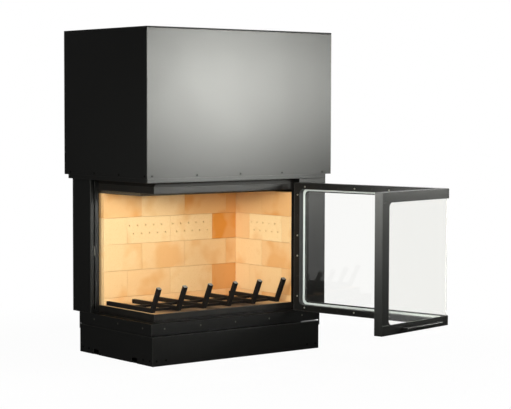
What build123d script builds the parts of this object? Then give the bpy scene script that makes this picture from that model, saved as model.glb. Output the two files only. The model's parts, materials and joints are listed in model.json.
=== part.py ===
from build123d import *
import math
import os

# A corner fireplace insert: firebrick chamber open at the front and the left, a framed glass door that
# wraps round that corner and stands swung open on its right-hand hinge, a tall upper casing that the door
# lifts into, and a low plinth.
# Lengths are in millimetres. While modelling, x runs right from the casing's left face, y runs back from
# its front face and z runs up from the floor. The finished pieces are shifted so that the origin lies on
# the floor under the middle of the casing.

# ---------------------------------------------------------------- driving dimensions
# upper casing
CASING_W = 970.0
CASING_D = 624.0
CASING_H = 611.0
CASING_GAP = 33.0               # its underside above the closed door
CASING_SHEET = 2.0
LID_EDGE = 6.0                  # turned-down edge of the top cover
LID_HOLE_R = 130.0              # round cut-out for the flue pipe
FLANGE = 8.0                    # inward fold at the foot of the front and left panels
TRIM_H = 17.0                   # strip under the casing
TRIM_T = 6.0
TRIM_INSET = 4.0
TRIM_RIGHT_INSET = 27.0
TRIM_REAR_INSET = 25.0

# lower body
FACE_X = 30.0                   # door, fascia and column faces behind the casing's left face
FACE_Y = 13.0                   # door and fascia faces behind the casing's front face
BODY_INSET = 17.0               # right and rear body panels inside the casing
BODY_SHEET = 3.0
RIGHT_COLUMN_W = 144.0
LEFT_COLUMN_D = 140.0
HEARTH_Z = 174.0                # underside of the plate that carries the firebricks
HEARTH_T = 4.0

# plinth
PLINTH_H = 118.0
PLINTH_X = 38.0                 # its four faces inside the casing's
PLINTH_Y = 16.0
PLINTH_RIGHT = 52.0
PLINTH_REAR = 60.0
PLINTH_SHEET = 3.0
NOTCH_W = 40.0
NOTCH_H = 22.0
NOTCH_INSET = 134.0               # notch centre from the front end of the left panel
NOTCH_PITCH = 289.0
DECK_T = 3.0
ANCHOR_R = 5.5
ANCHOR_INSET_X = 105.0            # anchor holes inside the casing's sides
ANCHOR_INSET_Y = 102.0

# fascia between plinth and door
FASCIA_H = 48.0
FASCIA_RIGHT = 49.0             # its ends inside the casing's right and rear faces
FASCIA_REAR = 68.0
FASCIA_SHEET = 2.0
FASCIA_FOLD = 45.0              # inward fold along its top
TAB_W = 7.0
TAB_H = 23.0
BEARERS = 4                     # plates on edge that carry the hearth plate
BEARER_T = 6.0
BEARER_INSET = 62.0               # first and last from the plinth's sides
BEARER_CLEAR = 10.0

# firebricks and chamber
BRICK_T = 40.0
BRICK_H = 114.0
BRICK_PITCH = 228.0
BRICK_JOINT = 0.8
FLOOR_BRICK_T = 30.0
FOOT_COURSE_H = 57.0            # half course at the foot of the walls
FULL_COURSES = 3
WALL_DROP = 14.0                # head of the walls, a cut course, below the head strips
BACK_LAP = 17.0                 # chamber side of the back wall ahead of the left column's front
RIGHT_LAP = 11.0                # chamber side of the right wall ahead of the right column's left side
BACK_LEFT = 17.0                # left end of the back wall inside the sealing frame
BACK_JOINT_EVEN = 118.0         # first upright joint of the second and fourth courses, from the left end
BACK_JOINT_ODD = 195.0          # and of the others
RIGHT_JOINT_EVEN = 100.0        # the same on the right wall, from the rear corner
RIGHT_JOINT_ODD = 188.0
AIR_HOLE_R = 3.2
AIR_HOLES = 5
AIR_PITCH = 42.0
AIR_FIRST = 12.0
AIR_SHIFT = 21.0                # sideways step of the lower row
AIR_ROWS = (36.0, 71.0)         # rows below the brick's top

# sealing frame round the two open sides
SEAL_GAP = 3.0                  # closed door to sealing frame
SEAL_SHEET = 3.0
SILL_T = 8.0
SILL_LAP = 28.0                 # sill strips above the door's lower edge
HEAD_LAP = 32.0                 # foot of the head strips below the door's upper edge
HEAD_H = 28.0
BEAD_R = 5.0

# door
DOOR_H = 550.0
DOOR_FOOT = 5.0                 # gap between fascia and door
DOOR_DEPTH = 38.0
RAIL = 40.0
STILE = 44.0
DOOR_SHEET = 3.0
WINDOW_R = 19.0
OPEN_ANGLE = 101.3              # the door stands this far open
GLASS_T = 4.0
GLASS_SET = 5.0                 # glass behind the door's outer face
GLASS_GRIP = 28.0               # glass under the frame
GLASS_GAP = 0.3
GASKET_T = 4.0
GASKET_OUT = 14.0               # gasket edges, measured out from the window edge
GASKET_IN = 5.0
OUTER_GASKET_IN = 1.0
RETAINER_T = 3.0
RETAINER_LAP = 13.0             # retainer edge outside the window edge
PIVOT_OUT = 3.0                 # hinge axis beyond the end and in front of the face of the door
PIVOT_CLEAR = 5.0               # hinge axis to the side of the right column
PIN_R = 4.0
PIN_PLAY = 0.06
KNUCKLE_R = 7.0
KNUCKLE_H = 35.0
HINGE_INSET = 90.0                # hinge centre from the top and the bottom of the door
HINGE_LEAF = 24.0
RETAINER_SCREW_R = 3.6
RETAINER_SCREW_H = 2.0
RETAINER_HOLE_R = 2.4
RETAINER_SCREW_PITCH = 88.0
RETAINER_SCREW_INSET = 60.0
RETAINER_SCREW_EDGE = 16.0
RETAINER_FITTED = (0, 3, 5, 7)  # holes of a long row that hold a screw, the others stay open
UPRIGHT_SCREW_PITCH = 87.0
UPRIGHT_SCREW_INSET = 63.0
UPRIGHT_OPEN = (1, 4)           # open holes of an upright row

# handle on the side leaf's lower rail
HANDLE_L = 242.0
HANDLE_START = 78.0
HANDLE_H = 14.0
HANDLE_T = 10.0
HANDLE_STAND = 18.0             # free gap behind the bar
HANDLE_POST = 11.0
HANDLE_Z = 17.0                 # bar centre above the door's lower edge

# screws
SHANK_R = 2.0
SHANK_PLAY = 0.3
SHANK_L = 6.0
HEAD_R = 4.5
HEAD_T = 1.6
CASING_SCREW_EDGE = 11.0        # above the casing's lower edge
CASING_SCREWS = 5
CASING_SCREW_INSETS = (24.0, 50.0)
CASING_SIDE_SCREWS = 4
CASING_SIDE_INSETS = (19.0, 47.0)
FASCIA_SCREW_START = 64.0
FASCIA_SCREW_PITCH = 181.6
FASCIA_SCREW_EDGE = 26.0
PLINTH_SCREW_EDGE = 22.0
PLINTH_SCREW_INSETS = (18.0, 65.0)
PLINTH_SIDE_STEP = 5.0          # side screws this much further in

# smoke hood and flue
HOOD_DROP = 193.0               # top of the hood plates below the casing's top
HOOD_MOUTH = 260.0
HOOD_SHEET = 3.0
FLUE_REAR = 304.0               # flue centre from the casing's rear face
FLUE_R = 101.0                  # socket bore, takes a 200 mm pipe
FLUE_WALL = 3.0
FLUE_STOP_R = 97.0
FLUE_SOCKET_L = 65.0
FLUE_DROP = 23.0                # socket mouth below the casing's top
BAFFLE_T = 25.0
BAFFLE_GAP = 126.0              # smoke gap in front of the baffle
BAFFLE_CLEAR = 2.0

# outside-air spigot and its flap
SPIGOT_REAR = 184.0             # its centre from the casing's rear face
SPIGOT_R = 62.5
SPIGOT_WALL = 2.0
SPIGOT_L = 63.0
SPIGOT_FLANGE = 14.0
SPIGOT_PASS_R = 95.0            # opening in the plinth floor below it
FLAP_DROP = 18.0                # flap axis below the plinth's top
FLAP_T = 2.0
FLAP_CLEAR = 1.0
SPINDLE_R = 4.0
SPINDLE_PLAY = 0.06
SPINDLE_BACK = 0.3              # spindle ends inside the spigot's outer face
EYE_UP = 30.0                   # cable eye above the flap's axis
EYE_L = 12.0
EYE_W = 12.0
EYE_T = 4.0
EYE_HOLE_R = 2.0

# lifting gear
RAIL_BAR_T = 6.0
RAIL_BAR_W = 20.0
RAIL_AHEAD = 50.0               # front of the runner rail ahead of the wheel axis
CARRIAGE_H = 120.0
CARRIAGE_UP = 206.0             # carriage above the hearth plate's underside
CARRIAGE_T = 16.0
CARRIAGE_PLAY = 0.3
HOOK_T = 4.0
HOOK_H = 40.0
HOOK_GAP = 2.0                  # hook tip to the closed door
SLOT_PLAY = 1.0
SLOT_FOOT = 16.0                # foot of the hook slot above the hearth plate's underside
WHEEL_REAR = 74.0               # wheel axis from the casing's rear face
WHEEL_DROP = 63.0               # and below its top
CHAIN_R = 20.0                  # pitch radius of the chain on its wheel
CHAIN_T = 4.0
WHEEL_T = 8.0
SHAFT_R = 8.0
SHAFT_PLAY = 0.06
BEARING_H = 60.0
BEARING_D = 80.0
BEARING_BACK = 30.0             # bearing behind the wheel axis
BEARING_INSET = 6.0               # closed end of its bore
WEIGHT_T = 50.0
WEIGHT_D = 38.0
WEIGHT_H = 480.0
WEIGHT_DROP = 130.0             # its top below the wheel axis
WEIGHT_CLEAR = 3.0

# log grate
BAR = 18.0
BAR_EDGE_R = 3.0
BARS = 6
BAR_LEFT = 21.0                 # first bar's centre inside the sealing frame
BAR_RIGHT = 48.0                # last bar's centre from the right wall
BEND_BACK = 42.0                # bend behind the sealing frame's front
LEG_GAP = 24.0                  # rear ends from the back wall
HORN_H = 96.0
HORN_LEAN = 47.0
TIES_AT = (54.0, 189.0)         # cross ties behind the bend
TIE_H = 10.0

# ---------------------------------------------------------------- places worked out from them
DOOR_Z = HEARTH_Z + DOOR_FOOT
DOOR_TOP = DOOR_Z + DOOR_H
CASING_Z = DOOR_TOP + CASING_GAP
CASING_TOP = CASING_Z + CASING_H
LID_Z = CASING_TOP - LID_EDGE
BODY_RIGHT = CASING_W - BODY_INSET
BODY_REAR = CASING_D - BODY_INSET
JAMB_X = BODY_RIGHT - BODY_SHEET - RIGHT_COLUMN_W       # left side of the right column
COLUMN_Y = BODY_REAR - LEFT_COLUMN_D                    # front of the left column
PLINTH_W = CASING_W - PLINTH_X - PLINTH_RIGHT
PLINTH_D = CASING_D - PLINTH_Y - PLINTH_REAR
FASCIA_W = CASING_W - FACE_X - FASCIA_RIGHT
FASCIA_D = CASING_D - FACE_Y - FASCIA_REAR
DOOR_L = JAMB_X - PIVOT_CLEAR - PIVOT_OUT - FACE_X      # front leaf
DOOR_S = COLUMN_Y - SEAL_GAP - FACE_Y                   # side leaf
BACK_FACE_Y = COLUMN_Y - BACK_LAP
RIGHT_FACE_X = JAMB_X - RIGHT_LAP
HEARTH_TOP = HEARTH_Z + HEARTH_T
FLOOR_TOP = HEARTH_TOP + FLOOR_BRICK_T
FASCIA_Z = HEARTH_Z - FASCIA_H
DECK_TOP = PLINTH_H + DECK_T
SEAL_Y = FACE_Y + DOOR_DEPTH + SEAL_GAP         # front plane of the sealing frame
SEAL_X = FACE_X + DOOR_DEPTH + SEAL_GAP
COLUMN_X = SEAL_X                               # right side of the left column
SILL_TOP = DOOR_Z + SILL_LAP
HEAD_FOOT = DOOR_TOP - HEAD_LAP
HEAD_TOP = HEAD_FOOT + HEAD_H
BACK_START_X = SEAL_X + BACK_LEFT
BAFFLE_FRONT_Y = SEAL_Y + BAFFLE_GAP
LINER_Y = BACK_FACE_Y + BRICK_T                 # steel behind the back wall
LINER_X = RIGHT_FACE_X + BRICK_T                # steel behind the right wall
WALL_TOP = HEAD_FOOT - WALL_DROP
JAMB_Y = FACE_Y + BODY_SHEET
PIVOT = (FACE_X + DOOR_L + PIVOT_OUT, FACE_Y - PIVOT_OUT)
PIVOT_AXIS = Axis((PIVOT[0], PIVOT[1], 0), (0, 0, 1))
HINGES = (DOOR_Z + HINGE_INSET, DOOR_TOP - HINGE_INSET)
FLUE_X = CASING_W / 2
FLUE_Y = CASING_D - FLUE_REAR
FLUE_TOP = CASING_TOP - FLUE_DROP
HOOD_TOP = CASING_TOP - HOOD_DROP
SPIGOT_X = CASING_W / 2
SPIGOT_Y = CASING_D - SPIGOT_REAR
SPIGOT_Z = PLINTH_H - SPIGOT_L
FLAP_Z = PLINTH_H - FLAP_DROP
WHEEL_Y = CASING_D - WHEEL_REAR
WHEEL_Z = CASING_TOP - WHEEL_DROP
WEIGHT_TOP = WHEEL_Z - WEIGHT_DROP
RAIL_BAR_Y = WHEEL_Y - RAIL_AHEAD
CARRIAGE_Z = HEARTH_Z + CARRIAGE_UP
BAR_START = SEAL_X + BAR_LEFT
BAR_PITCH = (RIGHT_FACE_X - BAR_RIGHT - BAR_START) / (BARS - 1)
BEND_Y = SEAL_Y + BEND_BACK
LEG_L = BACK_FACE_Y - LEG_GAP - BEND_Y
BODY_LEFT_IN = FACE_X + BODY_SHEET              # inner faces of the left column and right panel
BODY_RIGHT_IN = BODY_RIGHT - BODY_SHEET
TWIN_X = CASING_W                               # the lifting gear mirrors as x to TWIN_X - x
CHAIN_X = BODY_LEFT_IN + CARRIAGE_T + 1.0       # plane of the left chain
ORIGIN = Pos(-CASING_W / 2, -CASING_D / 2, 0)

PARTS = {}


# ---------------------------------------------------------------- helpers
def block(x, y, z):
    """A box between two corners, each pair given as (low, high)."""
    centre = Pos((x[0] + x[1]) / 2, (y[0] + y[1]) / 2, (z[0] + z[1]) / 2)
    return centre * Box(x[1] - x[0], y[1] - y[0], z[1] - z[0])


def rod(start, axis, length, radius):
    """A cylinder from a point along one of the unit axes."""
    turn = {"x": Rot(0, 90, 0), "y": Rot(-90, 0, 0), "z": Rot(0, 0, 0)}[axis]
    return Pos(*start) * turn * Cylinder(radius, length, align=(Align.CENTER, Align.CENTER, Align.MIN))


def solids_of(*shapes):
    """Every solid in the shapes, as one flat list."""
    return [s for shape in shapes for s in shape.solids()]


def keep(name, *shapes):
    """Remember the finished solids of one named piece."""
    PARTS[name] = solids_of(*shapes)


def prism(points, z):
    """An upright prism over a closed outline of (x, y) points."""
    face = make_face(Polyline(*[(px, py, z[0]) for px, py in points], close=True))
    return extrude(face, amount=z[1] - z[0], dir=(0, 0, 1))


def screw(point, axis, sign):
    """A pan-head screw whose head sits on the face through the point, its shank going the other way."""
    x, y, z = point
    step = {"x": (sign, 0, 0), "y": (0, sign, 0)}[axis]
    low_head = 0 if sign > 0 else -HEAD_T
    low_shank = -SHANK_L if sign > 0 else 0
    head_at = (x + abs(step[0]) * low_head, y + abs(step[1]) * low_head, z)
    shank_at = (x + abs(step[0]) * low_shank, y + abs(step[1]) * low_shank, z)
    head = rod(head_at, axis, HEAD_T, HEAD_R)
    return head + rod(shank_at, axis, SHANK_L, SHANK_R)


def screw_hole(point, axis):
    """The clearance hole for such a screw, run through any thin sheet."""
    x, y, z = point
    reach = SHANK_L
    start = (x - reach, y, z) if axis == "x" else (x, y - reach, z)
    return rod(start, axis, 2 * reach, SHANK_R + SHANK_PLAY)


def even_row(first, last, count):
    return [first + i * (last - first) / (count - 1) for i in range(count)]


def drilled(shape, points, axis):
    for point in points:
        shape = shape - screw_hole(point, axis)
    return shape


# ---------------------------------------------------------------- plinth
PLINTH_XS = (PLINTH_X, PLINTH_X + PLINTH_W)
PLINTH_YS = (PLINTH_Y, PLINTH_Y + PLINTH_D)
PLINTH_IN_X = (PLINTH_XS[0] + PLINTH_SHEET, PLINTH_XS[1] - PLINTH_SHEET)
PLINTH_IN_Y = (PLINTH_YS[0] + PLINTH_SHEET, PLINTH_YS[1] - PLINTH_SHEET)


def plinth_screw_points():
    """Screw places on the front panel and on the left and right panels."""
    front = []
    sides = []
    for end in PLINTH_SCREW_INSETS:
        for x in (PLINTH_XS[0] + end, PLINTH_XS[1] - end):
            front.append((x, PLINTH_YS[0], PLINTH_SCREW_EDGE))
        for y in (PLINTH_YS[0] + end + PLINTH_SIDE_STEP, PLINTH_YS[1] - end - PLINTH_SIDE_STEP):
            sides.append(y)
    left = [(PLINTH_XS[0], y, PLINTH_SCREW_EDGE) for y in sides]
    right = [(PLINTH_XS[1], y, PLINTH_SCREW_EDGE) for y in sides]
    return front, left, right


def plinth():
    full = (0, PLINTH_H)
    front_pts, left_pts, right_pts = plinth_screw_points()
    front = block(PLINTH_XS, (PLINTH_YS[0], PLINTH_IN_Y[0]), full)
    keep("plinth_front", drilled(front, front_pts, "y"))
    keep("plinth_rear", block(PLINTH_XS, (PLINTH_IN_Y[1], PLINTH_YS[1]), full))
    left = block((PLINTH_XS[0], PLINTH_IN_X[0]), PLINTH_IN_Y, full)
    for i in range(2):
        middle = PLINTH_YS[0] + NOTCH_INSET + i * NOTCH_PITCH
        gap = (middle - NOTCH_W / 2, middle + NOTCH_W / 2)
        left -= block((PLINTH_XS[0] - 1, PLINTH_IN_X[0] + 1), gap, (-1, NOTCH_H))
    keep("plinth_left", drilled(left, left_pts, "x"))
    right = block((PLINTH_IN_X[1], PLINTH_XS[1]), PLINTH_IN_Y, full)
    keep("plinth_right", drilled(right, right_pts, "x"))
    floor = block(PLINTH_IN_X, PLINTH_IN_Y, (0, PLINTH_SHEET))
    floor -= rod((SPIGOT_X, SPIGOT_Y, -1), "z", PLINTH_SHEET + 2, SPIGOT_PASS_R)
    for sx in (-1, 1):
        for sy in (-1, 1):
            x = CASING_W / 2 + sx * (CASING_W / 2 - ANCHOR_INSET_X)
            y = CASING_D / 2 + sy * (CASING_D / 2 - ANCHOR_INSET_Y)
            floor -= rod((x, y, -1), "z", PLINTH_SHEET + 2, ANCHOR_R)
    keep("plinth_floor", floor)
    deck = block(PLINTH_XS, PLINTH_YS, (PLINTH_H, DECK_TOP))
    deck -= rod((SPIGOT_X, SPIGOT_Y, PLINTH_H - 1), "z", DECK_T + 2, SPIGOT_R - SPIGOT_WALL)
    keep("deck_plate", deck)


# ---------------------------------------------------------------- outside-air spigot
def air_spigot():
    tube = rod((SPIGOT_X, SPIGOT_Y, SPIGOT_Z), "z", PLINTH_H - SPIGOT_Z, SPIGOT_R)
    flange = rod((SPIGOT_X, SPIGOT_Y, PLINTH_H - DECK_T), "z", DECK_T, SPIGOT_R + SPIGOT_FLANGE)
    bore = rod((SPIGOT_X, SPIGOT_Y, SPIGOT_Z - 1), "z", PLINTH_H, SPIGOT_R - SPIGOT_WALL)
    pivot = rod((SPIGOT_X - SPIGOT_R - 1, SPIGOT_Y, FLAP_Z), "x", 2 * SPIGOT_R + 2, SPINDLE_R + SPINDLE_PLAY)
    keep("air_spigot", tube + flange - bore - pivot)
    flap_r = SPIGOT_R - SPIGOT_WALL - FLAP_CLEAR
    flap = rod((SPIGOT_X, SPIGOT_Y - FLAP_T / 2, FLAP_Z), "y", FLAP_T, flap_r)
    reach = SPIGOT_R - SPINDLE_BACK
    spindle = rod((SPIGOT_X - reach, SPIGOT_Y, FLAP_Z), "x", 2 * reach, SPINDLE_R)
    eye_x = (SPIGOT_X - EYE_T / 2, SPIGOT_X + EYE_T / 2)
    eye_z = (FLAP_Z + EYE_UP - EYE_W / 2, FLAP_Z + EYE_UP + EYE_W / 2)
    eye = block(eye_x, (SPIGOT_Y - EYE_L, SPIGOT_Y), eye_z)
    eye_hole = (eye_x[0] - 1, SPIGOT_Y - EYE_L + EYE_W / 2, FLAP_Z + EYE_UP)
    eye -= rod(eye_hole, "x", EYE_T + 2, EYE_HOLE_R)
    keep("air_flap", flap + spindle + eye)


# ---------------------------------------------------------------- fascia and hearth
FASCIA_XS = (FACE_X, FACE_X + FASCIA_W)
FASCIA_YS = (FACE_Y, FACE_Y + FASCIA_D)


def fascia_screw_points():
    z = FASCIA_Z + FASCIA_SCREW_EDGE
    front = [(FASCIA_XS[0] + at, FASCIA_YS[0], z) for at in fascia_screw_row(FASCIA_W)]
    left = [(FASCIA_XS[0], FASCIA_YS[0] + at, z) for at in fascia_screw_row(FASCIA_D)]
    return front, left


def fascia_screw_row(length):
    count = int((length - FASCIA_SCREW_START) // FASCIA_SCREW_PITCH) + 1
    return [FASCIA_SCREW_START + i * FASCIA_SCREW_PITCH for i in range(count)]


def fascia():
    front_pts, left_pts = fascia_screw_points()
    span = (FASCIA_Z, HEARTH_Z)
    fold_z = (HEARTH_Z - FASCIA_SHEET, HEARTH_Z)
    tab_z = (FASCIA_Z - TAB_H, FASCIA_Z)
    x_in = FASCIA_XS[0] + FASCIA_SHEET
    y_in = FASCIA_YS[0] + FASCIA_SHEET
    front = block(FASCIA_XS, (FASCIA_YS[0], y_in), span)
    front += block((x_in + FASCIA_FOLD, FASCIA_XS[1]), (y_in, y_in + FASCIA_FOLD), fold_z)
    front += block((FASCIA_XS[1] - TAB_W, FASCIA_XS[1]), (FASCIA_YS[0], y_in), tab_z)
    keep("fascia_front", drilled(front, front_pts, "y"))
    left = block((FASCIA_XS[0], x_in), (y_in, FASCIA_YS[1]), span)
    left += block((x_in, x_in + FASCIA_FOLD), (y_in, FASCIA_YS[1]), fold_z)
    left += block((FASCIA_XS[0], x_in), (FASCIA_YS[1] - TAB_W, FASCIA_YS[1]), tab_z)
    keep("fascia_left", drilled(left, left_pts, "x"))


def hearth():
    plate = block((SEAL_X, BODY_RIGHT_IN), (SEAL_Y, BODY_REAR - BODY_SHEET), (HEARTH_Z, HEARTH_TOP))
    keep("hearth_plate", plate)
    y = (SEAL_Y + BEARER_CLEAR, PLINTH_IN_Y[1] - BEARER_CLEAR)
    bearers = []
    for x in even_row(PLINTH_XS[0] + BEARER_INSET, PLINTH_XS[1] - BEARER_INSET, BEARERS):
        bearers.append(block((x - BEARER_T / 2, x + BEARER_T / 2), y, (DECK_TOP, HEARTH_Z)))
    keep("hearth_bearers", *bearers)


# ---------------------------------------------------------------- firebricks
def courses():
    """(low, high) of each wall course with its index, from the hearth plate up."""
    full = HEARTH_TOP + FOOT_COURSE_H + FULL_COURSES * BRICK_H
    heights = [FOOT_COURSE_H] + [BRICK_H] * FULL_COURSES + [WALL_TOP - full]
    z = HEARTH_TOP
    rows = []
    for height in heights:
        rows.append((z, z + height - BRICK_JOINT))
        z += height
    rows[-1] = (rows[-1][0], WALL_TOP)
    return rows


def joints(first, length):
    """Upright joints along a course, with both ends."""
    marks = [0.0]
    place = first
    while place < length:
        marks.append(place)
        place += BRICK_PITCH
    marks.append(length)
    return marks


def back_wall():
    """Solid and perforated bricks of the back wall."""
    solid = []
    air = []
    length = RIGHT_FACE_X - BACK_START_X
    depth = (BACK_FACE_Y, BACK_FACE_Y + BRICK_T)
    for i, span in enumerate(courses()):
        first = BACK_JOINT_EVEN if i % 2 == 1 else BACK_JOINT_ODD
        marks = joints(first, length)
        for k in range(len(marks) - 1):
            x = (BACK_START_X + marks[k], BACK_START_X + marks[k + 1] - BRICK_JOINT)
            brick = block(x, depth, span)
            if i == FULL_COURSES and k in (1, 2):
                air.append(perforated(brick, "y", x[0] + AIR_FIRST, 1, span[1], depth[0]))
            else:
                solid.append(brick)
    return solid, air


def perforated(brick, axis, first, direction, top, face):
    """Drill two staggered rows of air holes through a brick."""
    for row, drop in enumerate(AIR_ROWS):
        for k in range(AIR_HOLES):
            along = first + direction * (k * AIR_PITCH + row * AIR_SHIFT)
            start = (along, face - 1, top - drop) if axis == "y" else (face - 1, along, top - drop)
            brick = brick - rod(start, axis, BRICK_T + 2, AIR_HOLE_R)
    return brick


def right_wall():
    """Solid and perforated bricks of the right wall, laid from the rear corner towards the front."""
    solid = []
    air = []
    rear = LINER_Y
    length = rear - (SEAL_Y + SEAL_SHEET)
    corner = rear - BACK_FACE_Y
    depth = (RIGHT_FACE_X, RIGHT_FACE_X + BRICK_T)
    for i, span in enumerate(courses()):
        first = corner + (RIGHT_JOINT_EVEN if i % 2 == 1 else RIGHT_JOINT_ODD)
        marks = joints(first, length)
        for k in range(len(marks) - 1):
            y = (rear - marks[k + 1] + BRICK_JOINT, rear - marks[k])
            brick = block(depth, y, span)
            if i == FULL_COURSES and k == 1:
                air.append(perforated(brick, "x", y[1] - AIR_FIRST, -1, span[1], depth[0]))
            else:
                solid.append(brick)
    return solid, air


def floor_bricks():
    """Bricks laid flat in rows across the hearth, every other row shifted by half a brick."""
    x_span = (SEAL_X + SILL_T, RIGHT_FACE_X - BRICK_JOINT)
    y_span = (SEAL_Y + SILL_T, BACK_FACE_Y - BRICK_JOINT)
    bricks = []
    rows = math.ceil((y_span[1] - y_span[0]) / BRICK_H)
    for r in range(rows):
        y = (y_span[0] + r * BRICK_H, min(y_span[0] + (r + 1) * BRICK_H - BRICK_JOINT, y_span[1]))
        first = BRICK_PITCH if r % 2 == 0 else BRICK_PITCH / 2
        marks = joints(first, x_span[1] - x_span[0])
        for k in range(len(marks) - 1):
            x = (x_span[0] + marks[k], x_span[0] + marks[k + 1] - BRICK_JOINT)
            bricks.append(block(x, y, (HEARTH_TOP, FLOOR_TOP)))
    return bricks


def firebricks():
    back, back_air = back_wall()
    right, right_air = right_wall()
    keep("back_bricks", *back)
    keep("right_bricks", *right)
    keep("air_bricks", *(back_air + right_air))
    keep("floor_bricks", *floor_bricks())
    baffle_x = (BACK_START_X, LINER_X - BAFFLE_CLEAR)
    baffle_y = (BAFFLE_FRONT_Y, LINER_Y - BAFFLE_CLEAR)
    keep("baffle_plate", block(baffle_x, baffle_y, (WALL_TOP, WALL_TOP + BAFFLE_T)))


# ---------------------------------------------------------------- steel round the chamber
def mitre_corner(front_depth, z):
    """Prism that keeps the front part of a corner strip: its left end is cut at 45 degrees."""
    far = RIGHT_FACE_X
    points = [(SEAL_X, SEAL_Y), (SEAL_X + front_depth, SEAL_Y + front_depth), (far, SEAL_Y + front_depth)]
    return prism(points + [(far, SEAL_Y)], z)


def sealing_frame():
    sill_z = (HEARTH_TOP, SILL_TOP)
    sill = block((SEAL_X, RIGHT_FACE_X), (SEAL_Y, SEAL_Y + SILL_T), sill_z)
    lower_edge = sill.edges().filter_by(Axis.X).group_by(Axis.Z)[0].sort_by(Axis.Y)[0]
    sill = fillet(lower_edge, BEAD_R)
    keep("sill_front", sill & mitre_corner(SILL_T, sill_z))
    side = block((SEAL_X, SEAL_X + SILL_T), (SEAL_Y, COLUMN_Y), sill_z)
    lower_edge = side.edges().filter_by(Axis.Y).group_by(Axis.Z)[0].sort_by(Axis.X)[0]
    side = fillet(lower_edge, BEAD_R)
    keep("sill_left", side - mitre_corner(SILL_T, sill_z))
    head_z = (HEAD_FOOT, HEAD_TOP)
    head = block((SEAL_X, RIGHT_FACE_X), (SEAL_Y, SEAL_Y + SEAL_SHEET), head_z)
    keep("head_front", head & mitre_corner(SEAL_SHEET, head_z))
    side = block((SEAL_X, SEAL_X + SEAL_SHEET), (SEAL_Y, COLUMN_Y), head_z)
    keep("head_left", side - mitre_corner(SEAL_SHEET, head_z))


def right_jamb():
    width = (RIGHT_FACE_X, LINER_X + SEAL_SHEET)
    keep("right_jamb", block(width, (SEAL_Y, SEAL_Y + SEAL_SHEET), (HEARTH_TOP, HEAD_TOP)))


def body_shell():
    """Columns, outer panels and liners, notched where the strips under the casing cross them."""
    tall = (HEARTH_Z, CASING_Z)
    rear_in = BODY_REAR - BODY_SHEET
    side = block((FACE_X, BODY_LEFT_IN), (COLUMN_Y, rear_in), tall)
    front = block((BODY_LEFT_IN, COLUMN_X), (COLUMN_Y, COLUMN_Y + BODY_SHEET), tall)
    inner_x = (COLUMN_X - BODY_SHEET, COLUMN_X)
    inner = block(inner_x, (COLUMN_Y + BODY_SHEET, LINER_Y), (HEARTH_TOP, HEAD_TOP))
    slot_x = (CHAIN_X - HOOK_T / 2 - SLOT_PLAY, CHAIN_X + HOOK_T / 2 + SLOT_PLAY)
    slot_z = (HEARTH_Z + SLOT_FOOT, CASING_Z + 1)
    slot = block(slot_x, (COLUMN_Y - 1, COLUMN_Y + BODY_SHEET + 1), slot_z)
    strips = trim_strips()
    for strip in strips:
        side = side - strip
    keep("left_column", side, front - slot, inner)
    keep("rear_panel", block((FACE_X, BODY_RIGHT), (rear_in, BODY_REAR), tall))
    keep("right_panel", block((BODY_RIGHT_IN, BODY_RIGHT), (JAMB_Y, rear_in), tall))
    face = block((JAMB_X, BODY_RIGHT_IN), (JAMB_Y, JAMB_Y + BODY_SHEET), tall)
    face += block((JAMB_X, JAMB_X + BODY_SHEET), (JAMB_Y, SEAL_Y), tall)
    for strip in strips:
        face = face - strip
    keep("right_column_front", face)
    liner_z = (HEARTH_TOP, HEAD_TOP)
    back_x = (inner_x[0], LINER_X + SEAL_SHEET)
    keep("back_liner", block(back_x, (LINER_Y, LINER_Y + SEAL_SHEET), liner_z))
    right_y = (SEAL_Y + SEAL_SHEET, LINER_Y)
    keep("right_liner", block((LINER_X, LINER_X + SEAL_SHEET), right_y, liner_z))


# ---------------------------------------------------------------- smoke hood and flue
def frustum(low, high, z):
    """A solid between a lower and an upper rectangle, each given as ((x0, x1), (y0, y1))."""
    faces = []
    for (x, y), height in ((low, z[0]), (high, z[1])):
        corners = [(x[0], y[0]), (x[1], y[0]), (x[1], y[1]), (x[0], y[1])]
        faces.append(make_face(Polyline(*[(px, py, height) for px, py in corners], close=True)))
    return loft(faces, ruled=True)


def smoke_hood():
    low = ((SEAL_X, LINER_X + SEAL_SHEET), (SEAL_Y, LINER_Y + SEAL_SHEET))
    half = HOOD_MOUTH / 2
    high = ((FLUE_X - half, FLUE_X + half), (FLUE_Y - half, FLUE_Y + half))
    t = HOOD_SHEET
    z = (HEAD_TOP, HOOD_TOP)
    inner_low = tuple((a + t, b - t) for a, b in low)
    inner_high = tuple((a + t, b - t) for a, b in high)
    shell = frustum(low, high, z) - frustum(inner_low, inner_high, z)
    (x0, x1), (y0, y1) = low
    (u0, u1), (v0, v1) = high
    sides = [
        [(x0, y0), (x1, y0), (u1, v0), (u0, v0)],
        [(x1, y0), (x1, y1), (u1, v1), (u1, v0)],
        [(x1, y1), (x0, y1), (u0, v1), (u1, v1)],
        [(x0, y1), (x0, y0), (u0, v0), (u0, v1)],
    ]
    keep("hood_plates", *[shell & prism(points, z) for points in sides])
    cover = block(*high, (HOOD_TOP, HOOD_TOP + t))
    cover -= rod((FLUE_X, FLUE_Y, HOOD_TOP - 1), "z", t + 2, FLUE_STOP_R)
    keep("hood_cover", cover)
    foot = HOOD_TOP + t
    tube = rod((FLUE_X, FLUE_Y, foot), "z", FLUE_TOP - foot, FLUE_R + FLUE_WALL)
    tube -= rod((FLUE_X, FLUE_Y, foot - 1), "z", FLUE_TOP, FLUE_STOP_R)
    tube -= rod((FLUE_X, FLUE_Y, FLUE_TOP - FLUE_SOCKET_L), "z", FLUE_TOP, FLUE_R)
    keep("flue_socket", tube)


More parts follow.
